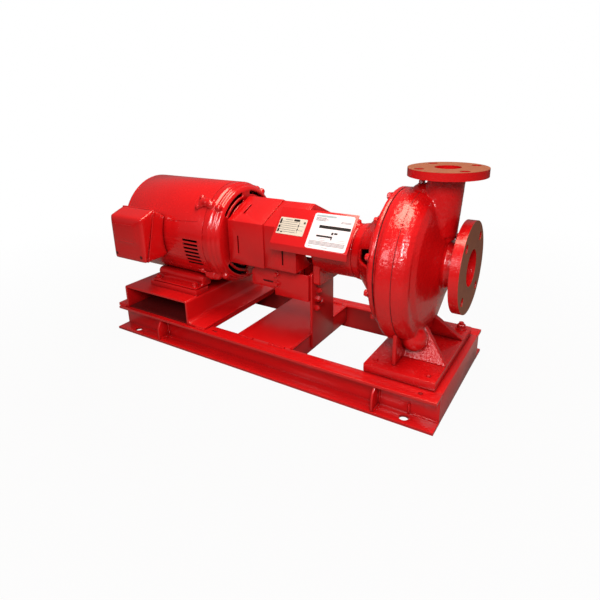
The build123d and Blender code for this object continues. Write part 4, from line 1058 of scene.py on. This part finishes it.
@dataclass
class SignPlate:
    """Bent sign plate with two printed labels that carry rows and bars but no words."""

    dresser: Dresser
    bolts: BoltSet
    sheet: float = 0.0006
    screw: Bolt = Bolt(4.0, 1.4, 5.0, 0.5)

    def build(self) -> None:
        """Dress the plate and print the labels."""
        for node in ("sign_plate",):
            self.dresser.eased(node, Paint.SHEET, 0.8)
        for node in ("sign_stay_left", "sign_stay_right"):
            self.dresser.eased(node, Paint.SHEET, 0.5)
        self.large_label()
        self.small_label()

    def plane(self, node: str) -> tuple[Matrix, float, float]:
        """Frame of a label's face, with its length and height.

        Args:
            node: Name of the label.

        Returns:
            A matrix from label millimetres to the part, the label's length and its height.
        """
        low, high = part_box(node)
        slope = math.atan2(high.z - low.z, high.y - low.y)
        up = Vector((0, math.cos(slope), math.sin(slope)))
        out = Vector((0, -math.sin(slope), math.cos(slope)))
        corner = Vector((low.x, low.y, low.z + self.sheet * math.cos(slope)))
        height = math.hypot(high.y - low.y, high.z - low.z) - self.sheet
        matrix = Matrix((
            (MM, 0, 0, corner.x),
            (0, up.y * MM, out.y * MM, corner.y),
            (0, up.z * MM, out.z * MM, corner.z),
            (0, 0, 0, 1)))
        return matrix, (high.x - low.x) / MM, height / MM

    def bars(self, name: str, node: str, rows: list[tuple], paint: Paint, lift: float) -> None:
        """Printed bars, each from (x0, y0) to (x1, y1) in shares of the label."""
        matrix, length, height = self.plane(node)
        points = []
        faces = []
        for x0, y0, x1, y1 in rows:
            first = len(points)
            for x, y in ((x0, y0), (x1, y0), (x1, y1), (x0, y1)):
                points.append((x * length, y * height, lift))
            faces.append((first, first + 1, first + 2, first + 3))
        mesh = mesh_from(points, faces, name)
        mesh.transform(matrix)
        piece = show(mesh, name)
        self.dresser.finish(piece, paint, "label_film")

    def card(self, node: str, corner: float, paint: Paint) -> None:
        """Label blank with round corners."""
        matrix, length, height = self.plane(node)
        rim = []
        centres = ((length - corner, height - corner), (corner, height - corner), (corner, corner), (length - corner, corner))
        for quarter, (cx, cy) in enumerate(centres):
            for step in range(7):
                turn = math.radians(90 * quarter + 15 * step)
                rim.append((cx + corner * math.cos(turn), cy + corner * math.sin(turn)))
        count = len(rim)
        points = [(x, y, 0.0) for x, y in rim] + [(x, y, -0.55) for x, y in rim]
        faces = [tuple(range(count)), tuple(range(2 * count - 1, count - 1, -1))]
        for k in range(count):
            after = (k + 1) % count
            faces.append((k, k + count, after + count, after))
        mesh = mesh_from(points, faces, node + "_card")
        mesh.transform(matrix)
        piece = show(mesh, node + "_card")
        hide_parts(node)
        self.dresser.finish(piece, paint, "label_film")

    def large_label(self) -> None:
        """White label with a thick bar, a short scale and rows of faint print."""
        node = "sign_label_large"
        self.card(node, 5.0, Paint.FILM)
        black = [(0.2, 0.585, 0.98, 0.67), (0.2, 0.34, 0.6, 0.39), (0.57, 0.29, 0.6, 0.34),
                 (0.55, 0.43, 0.6, 0.5), (0.62, 0.45, 0.7, 0.5)]
        self.bars("large_label_black", node, black, Paint.INK, 0.12)
        faint = [(0.06, 0.79 + 0.035 * k, 0.32 + 0.07 * (k % 2), 0.805 + 0.035 * k) for k in range(3)]
        faint += [(0.7, 0.775 + 0.03 * k, 0.95, 0.787 + 0.03 * k) for k in range(2)]
        faint += [(0.06, 0.115 + 0.03 * k, 0.95, 0.127 + 0.03 * k) for k in range(4)]
        faint += [(0.28, 0.25, 0.46, 0.256), (0.74, 0.25, 0.94, 0.256), (0.74, 0.3, 0.94, 0.306), (0.28, 0.3, 0.46, 0.306)]
        faint += [(0.08, 0.05, 0.18, 0.06), (0.42, 0.05, 0.56, 0.06)]
        self.bars("large_label_faint", node, faint, Paint.FAINT_INK, 0.12)
        self.bars("large_label_band", node, [(0.05, 0.9, 0.55, 0.955)], Paint.PALE_INK, 0.12)

    def small_label(self) -> None:
        """Pale label with ruled rows, a dark strip at its left and a column at its right."""
        node = "sign_label_small"
        self.card(node, 2.0, Paint.DULL_FILM)
        black = [(0.52, 0.82, 0.74, 0.94)]
        black += [(0.02, 0.1, 0.09, 0.3), (0.02, 0.36, 0.09, 0.52), (0.02, 0.6, 0.09, 0.9)]
        black += [(0.72, 0.3, 0.76, 0.4), (0.72, 0.5, 0.76, 0.62), (0.9, 0.72, 0.96, 0.84), (0.16, 0.08, 0.22, 0.15)]
        self.bars("small_label_black", node, black, Paint.INK, 0.12)
        faint = [(0.1, 0.14 + 0.12 * k, 0.7, 0.165 + 0.12 * k) for k in range(6)]
        faint += [(0.74, 0.14, 0.755, 0.8), (0.78, 0.3, 0.94, 0.32), (0.78, 0.55, 0.94, 0.57), (0.2, 0.86, 0.48, 0.89)]
        self.bars("small_label_faint", node, faint, Paint.FAINT_INK, 0.12)


@dataclass
class BearingFrame:
    """Post, bearing barrel, cap and the open bell that joins the pump."""

    dresser: Dresser
    bolts: BoltSet
    cap_bolt: Bolt = Bolt(8.0, 5.0, 10.0, 0.8)

    def build(self) -> None:
        """Dress the bearing frame."""
        self.dresser.eased("bearing_post", Paint.SHEET, 1.0)
        self.dresser.cast("bearing_frame", Paint.CAST, 2.0, 5, grit=(0.22, 6.0))
        self.dresser.eased("bearing_cap", Paint.CAST, 1.2)
        self.dresser.cast("adapter_bell", Paint.CAST, 2.0, 5, grit=(0.22, 6.0))
        low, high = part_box("bearing_cap")
        centre = (low.z + high.z) / 2
        seats = ring_points(low.x + 0.004, 0.038, centre, 4, 45)
        self.bolts.place("bearing_cap_bolts", self.cap_bolt, seats, (-1, 0, 0), Paint.CAST, "pump_cast")


@dataclass(frozen=True)
class Port:
    """Turned flange of a nozzle, its bore and its bolt holes, in millimetres from its face."""

    centre: Vector
    axis: int
    rim: float
    bore: float
    plate: float
    circle: float
    hole: float
    start: float
    reach: float = 3.0

    def true_up(self, places: np.ndarray) -> np.ndarray:
        """Put the skin near each turned or drilled face on that face.

        Args:
            places: Points of the skin in metres.

        Returns:
            The points, moved where they were near a machined face.
        """
        local = (places - np.array(self.centre)) / MM
        depth = -local[:, self.axis]
        sides = [k for k in (0, 1, 2) if k != self.axis]
        flat = local[:, sides]
        flange = (depth < self.plate + 1.0) & (depth > -3.0)
        mouth = (depth < 40.0) & (depth > -3.0)
        self.snap(flat, flange, np.zeros(2), self.rim)
        self.snap(flat, mouth, np.zeros(2), self.bore)
        for number in range(4):
            turn = math.radians(self.start + 90 * number)
            self.snap(flat, flange, self.circle * np.array((math.cos(turn), math.sin(turn))), self.hole)
        local[:, sides] = flat
        radius = np.linalg.norm(flat, axis=1)
        front = (np.abs(depth) < self.reach) & (radius > self.bore - 0.5) & (radius < self.rim + 0.5)
        back = (np.abs(depth - self.plate) < 2.2) & (radius > self.bore + 22) & (radius < self.rim + 0.5)
        local[front, self.axis] = 0.0
        local[back, self.axis] = -self.plate
        return local * MM + np.array(self.centre)

    def snap(self, flat: np.ndarray, where: np.ndarray, middle: np.ndarray, radius: float) -> None:
        """Move points that lie near a circle onto it."""
        out = flat - middle
        length = np.linalg.norm(out, axis=1)
        near = where & (np.abs(length - radius) < self.reach * 0.7)
        flat[near] = middle + out[near] * (radius / length[near])[:, None]


@dataclass
class Casing:
    """Volute casing, back cover, saddle and plugs."""

    dresser: Dresser
    bolts: BoltSet
    beads: BeadSet
    cover_bolt: Bolt = Bolt(13.0, 8.0, 16.0, 1.2)
    deck_bolt: Bolt = Bolt(17.0, 9.0, 26.0, 2.0, 6.0, 5.5)
    deck_plug: Bolt = Bolt(9.0, 3.0, 13.0, 0.8)
    suction_mm: tuple[float, ...] = (95.25, 38.1, 19.0, 76.2, 9.5, 25.0)
    discharge_mm: tuple[float, ...] = (76.2, 25.4, 16.0, 60.325, 9.5, 20.0)
    discharge_back_mm: float = 61.0
    parting_mm: float = 60.0
    crown_mm: float = 161.6
    crown_drop_mm: float = 12.0

    def build(self) -> None:
        """Dress the casing and bolt it up."""
        low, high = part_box("volute_casing")
        suction_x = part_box("end_channel_pump")[1].x
        shaft_z = (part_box("pump_shaft")[0].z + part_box("pump_shaft")[1].z) / 2
        paint = Enamel("volute_enamel", grain_mm=7.0, grain_height_mm=0.7, pit_mm=3.4, pit_height_mm=0.4,
                       roughness=0.22, bare_x=suction_x - 0.0003, bare_z=high.z - 0.0003).make()
        suction = Port(Vector((suction_x, 0, shaft_z)), 0, *self.suction_mm)
        discharge = Port(Vector((suction_x - self.discharge_back_mm * MM, 0, high.z)), 2, *self.discharge_mm)

        def machined(places: np.ndarray) -> np.ndarray:
            return discharge.true_up(suction.true_up(places))

        self.dresser.cast("volute_casing", paint, 2.2, 6, self.swells(suction_x / MM, shaft_z / MM),
                          (0.34, 5.6), machined=machined)
        self.dresser.cast("casing_cover", Paint.CAST, 2.2, 3, grit=(0.2, 6.0))
        self.dresser.cast("casing_saddle", Paint.ROUGH_CAST, 1.7, 4, grit=(0.5, 4.4))
        for node in ("casing_top_plug", "suction_gauge_plug"):
            self.dresser.eased(node, Paint.CAST, 0.8)
        self.hardware(shaft_z)

    def swells(self, face_x: float, shaft: float) -> list[bpy.types.Mesh]:
        """Fuller crown and dished front of the scroll, its vent pad and the drain bulge."""
        back = face_x - 444.5
        crown = [(332, 161.5), (350, 160), (361, 155), (369, 147), (369, 128), (356, 128), (352, 150), (334, 150)]
        dish = [(367, 144), (376, 129), (381, 111), (387, 90), (393, 72), (398, 60), (398, 50), (368, 50),
                (357, 64), (357, 140)]
        rings = [turned_ring([(x + back, r) for x, r in crown], shaft - 11, "crown"),
                 turned_ring([(x + back, r) for x, r in dish], shaft - 2, "dish")]
        passage = rod((face_x - 122, 0, shaft + 94), (face_x - 61, 0, shaft + 152), (17.5, 25.4), "passage")
        swells = [carved(ring, [passage.copy()]) for ring in rings]
        swells.append(ball((face_x - 100, 0, shaft + 148), (29, 24, 15), "vent_pad"))
        swells.append(ball((face_x - 86, -64, shaft - 148), (28, 27, 28), "drain_bulge"))
        root = rod((face_x - 76, 0, shaft + 80), (face_x - 56, 0, shaft + 44), (40, 24), "neck_root")
        bores = [passage, rod((face_x - 140, 0, shaft), (face_x - 10, 0, shaft), (52, 38.1), "suction_room")]
        swells.append(carved(root, bores))
        return swells

    def hardware(self, shaft_z: float) -> None:
        """Bolts of the cover and the deck, the dark line of the cover's gasket, and a near-black line of painted shade
        along the crown's crease.
        """
        cover_low, cover_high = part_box("casing_cover")
        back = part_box("adapter_bell")[1].x
        seats = ring_points(back, 0.1425, shaft_z, 12, 15)
        self.bolts.place("cover_bolts", self.cover_bolt, seats, (-1, 0, 0), Paint.CAST, "pump_cast")
        low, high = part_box("pump_deck")
        places = ((low.x + 0.017, 0.115), (high.x - 0.02, 0.12))
        far = [(x, y, high.z) for x, y in places]
        self.bolts.place("deck_bolts", self.deck_bolt, far, (0, 0, 1), Paint.CAST, "pump_cast")
        near = [(x, -y, high.z) for x, y in places]
        self.bolts.place("deck_plugs", self.deck_plug, near, (0, 0, 1), Paint.CAST, "pump_cast")
        joint_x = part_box("volute_casing")[0].x
        ring = ring_points(joint_x, cover_high.y - 0.0006, shaft_z, 96)
        self.beads.lay("cover_gasket", [ring], 0.7, 0.0, Paint.GASKET_AND_CREASE_SHADE, "pump_cast", 4.0, True)
        # painted shade: a near-black bead along the crown's parting line stands for the shade in its crease
        line = ring_points(low.x + self.parting_mm * MM, (self.crown_mm + 0.05) * MM,
                           shaft_z - self.crown_drop_mm * MM, 120)
        self.beads.lay("crown_parting_shade_line", [line], 0.45, 0.0, Paint.GASKET_AND_CREASE_SHADE, "pump_cast", 4.0, True)


@dataclass(frozen=True)
class Studio:
    """Plain pale studio with the camera at the photograph's angle."""

    focal_px: float = 491.7
    frame_px: float = 600.0
    centre_px: tuple[float, float] = (286.0, 259.3)
    azimuth: float = 33.7
    elevation: float = 18.6
    roll: float = -1.6
    place: tuple[float, float, float] = (0.6473, -0.9665, 0.6128)
    sensor_mm: float = 36.0

    def camera(self) -> None:
        """Set the camera where the photograph was taken."""
        data = bpy.data.cameras.new("camera")
        data.sensor_width = self.sensor_mm
        data.lens = self.focal_px / self.frame_px * self.sensor_mm
        data.shift_x = (self.frame_px / 2 - self.centre_px[0]) / self.frame_px
        data.shift_y = (self.centre_px[1] - self.frame_px / 2) / self.frame_px
        data.clip_end = 50
        side = math.radians(self.azimuth)
        tilt = math.radians(self.elevation)
        ahead = Vector((-math.sin(side) * math.cos(tilt), math.cos(side) * math.cos(tilt), -math.sin(tilt)))
        right = ahead.cross(Vector((0, 0, 1))).normalized()
        up = right.cross(ahead)
        turn = Matrix((right, up, -ahead)).transposed().to_4x4()
        camera = bpy.data.objects.new("camera", data)
        camera.matrix_world = Matrix.Translation(self.place) @ turn @ Matrix.Rotation(math.radians(self.roll), 4, "Z")
        bpy.context.scene.collection.objects.link(camera)
        bpy.context.scene.camera = camera

    def floor(self) -> None:
        """Pale floor that the camera sees as white, with a soft shadow."""
        mesh = mesh_from([(-9, -9, -0.0004), (9, -9, -0.0004), (9, 9, -0.0004), (-9, 9, -0.0004)], [(0, 1, 2, 3)], "floor")
        floor = show(mesh, "floor")
        material, tree = new_material("pale_floor")
        ray = add_node(tree, "ShaderNodeLightPath")
        coords = add_node(tree, "ShaderNodeTexCoord").outputs["Object"]
        away = add_node(tree, "ShaderNodeVectorMath", {"operation": "LENGTH"}, {0: coords}).outputs["Value"]
        white = add_node(tree, "ShaderNodeMapRange", None, {
            "Value": away, "From Min": 0.5, "From Max": 1.6, "To Min": 0.955, "To Max": 1.0})
        share = add_node(tree, "ShaderNodeMath", {"operation": "MULTIPLY"}, {
            0: ray.outputs["Is Camera Ray"], 1: white.outputs["Result"]})
        matt = add_node(tree, "ShaderNodeBsdfDiffuse", None, {"Color": linear("#888484")})
        white = add_node(tree, "ShaderNodeEmission", None, {"Color": (1, 1, 1, 1), "Strength": 1.0})
        mixed = add_node(tree, "ShaderNodeMixShader", None, {
            0: share.outputs[0], 1: matt.outputs[0], 2: white.outputs[0]})
        output(tree, mixed.outputs[0])
        floor.data.materials.append(material)

    def world(self) -> None:
        """White surroundings for the camera and gloss, softer for the light."""
        world = bpy.data.worlds.new("studio")
        bpy.context.scene.world = world
        world.use_nodes = True
        tree = world.node_tree
        tree.nodes.clear()
        ray = add_node(tree, "ShaderNodeLightPath")
        gloss = add_node(tree, "ShaderNodeMath", {"operation": "MAXIMUM"}, {
            0: ray.outputs["Is Glossy Ray"], 1: ray.outputs["Is Transmission Ray"]})
        part = add_node(tree, "ShaderNodeMath", {"operation": "MULTIPLY"}, {0: gloss.outputs[0], 1: 0.04})
        seen = add_node(tree, "ShaderNodeMath", {"operation": "MAXIMUM"}, {
            0: ray.outputs["Is Camera Ray"], 1: part.outputs[0]})
        strength = add_node(tree, "ShaderNodeMapRange", None, {
            "Value": seen.outputs[0], "To Min": 0.14, "To Max": 1.0})
        sky = add_node(tree, "ShaderNodeBackground", None, {
            "Color": (1, 1, 1, 1), "Strength": strength.outputs["Result"]})
        add_node(tree, "ShaderNodeOutputWorld", None, {"Surface": sky.outputs[0]})

    def lamp(self, name: str, place: tuple, aim: tuple, size: tuple, watts: float, colour: str,
             mirrored: bool = True) -> None:
        """One soft rectangular lamp."""
        data = bpy.data.lights.new(name, "AREA")
        data.shape = "RECTANGLE"
        data.size, data.size_y = size
        data.energy = watts
        data.color = linear(colour)[:3]
        lamp = bpy.data.objects.new(name, data)
        lamp.visible_camera = False
        lamp.visible_glossy = mirrored
        lamp.location = place
        lamp.rotation_mode = "QUATERNION"
        lamp.rotation_quaternion = (Vector(aim) - Vector(place)).to_track_quat("-Z", "Y")
        bpy.context.scene.collection.objects.link(lamp)

    def build(self) -> None:
        """Make the studio."""
        self.camera()
        self.floor()
        self.world()
        middle = (0.0, 0.0, 0.25)
        self.lamp("window_left", (-0.4, -2.2, 1.3), (0.1, 0.0, 0.2), (0.5, 0.7), 9.0, "#FFF2F4")
        self.lamp("window_right", (0.8, -1.2, 1.15), (0.3, 0.0, 0.2), (0.4, 0.5), 19.0, "#FFEEF0")
        self.lamp("ceiling", (0.3, 0.0, 2.3), middle, (1.5, 1.2), 58.0, "#FFE0C8")
        self.lamp("window_back", (-0.9, 2.2, 1.5), middle, (0.8, 0.8), 12.0, "#FFF4F0", False)
        scene = bpy.context.scene
        scene.view_settings.view_transform = "Standard"


def finishes() -> dict[Paint, bpy.types.Material]:
    """Build each material once.

    Returns:
        Materials by their paint.
    """
    recipes = {
        Paint.CAST: Enamel("cast_enamel", grain_mm=7.0, grain_height_mm=0.6, pit_mm=3.4, pit_height_mm=0.3),
        Paint.ROUGH_CAST: Enamel("rough_cast_enamel", grain_mm=5.0, grain_height_mm=1.5, pit_mm=2.8,
                                 pit_height_mm=1.0, roughness=0.2),
        Paint.SHEET: Enamel("sheet_enamel", grain_mm=16.0, grain_height_mm=0.025, roughness=0.3,
                            gloss_spread=0.08, painted_corner_shade=0.6, patch=0.06),
        Paint.MOTOR: Enamel("motor_enamel", grain_mm=8.0, grain_height_mm=0.12, roughness=0.2),
        # painted shade: dark red for pieces that stand in for shadow
        Paint.SHADED: Enamel("painted_shade_enamel", colour="#5A0A0A", deep="#3A0606", roughness=0.5, coat=0.0),
        Paint.WELD: Enamel("weld_enamel", grain_mm=2.6, grain_height_mm=0.4, roughness=0.2),
        Paint.FILM: Plain("label_film", "#E6E9EE", "#DADDE2", 12.0, 0.35, 0.0, 0.01),
        Paint.DULL_FILM: Plain("dull_label_film", "#CFD0C2", "#BDBEAE", 9.0, 0.4, 0.0, 0.01),
        Paint.INK: Plain("label_ink", "#151515", "#24211F", 6.0, 0.4, 0.0, 0.01),
        Paint.FAINT_INK: Plain("label_faint_ink", "#4E5254", "#6A6E70", 3.0, 0.4, 0.0, 0.01),
        Paint.PALE_INK: Plain("label_pale_ink", "#8FA9AE", "#A9BDC0", 5.0, 0.4, 0.0, 0.01),
        Paint.SHAFT: Plain("ground_shaft_steel", "#9A9C9E", "#7E8082", 6.0, 0.3, 1.0, 0.01),
        Paint.HUB: Plain("cast_hub_iron", "#3A3A3C", "#2A2A2C", 5.0, 0.5, 0.3, 0.1),
        Paint.RUBBER: Plain("coupling_rubber", "#1B1B1C", "#262627", 4.0, 0.75, 0.0, 0.05),
        Paint.BRONZE: Plain("cast_bronze", "#8A6038", "#6A4628", 5.0, 0.42, 0.9, 0.15),
        # dark gasket line, also used as painted shade along the crown's crease
        Paint.GASKET_AND_CREASE_SHADE: Plain("gasket_and_crease_shade", "#2A0A0A", "#3A0E0E", 4.0, 0.8, 0.0, 0.05),
    }
    return {paint: recipe.make() for paint, recipe in recipes.items()}


def main() -> None:
    """Build the dressed part in order, then the studio."""
    logging.basicConfig(level=logging.INFO, format="%(name)s %(message)s")
    dresser = Dresser(finishes())
    bolts = BoltSet(dresser)
    beads = BeadSet(dresser)
    BaseFrame(dresser, beads).build()
    MotorStand(dresser).build()
    Motor(dresser, bolts, beads).build()
    ShaftLine(dresser).build()
    Guard(dresser, bolts).build()
    SignPlate(dresser, bolts).build()
    BearingFrame(dresser, bolts).build()
    Casing(dresser, bolts, beads).build()
    Studio().build()


if __name__ == "__main__":
    main()
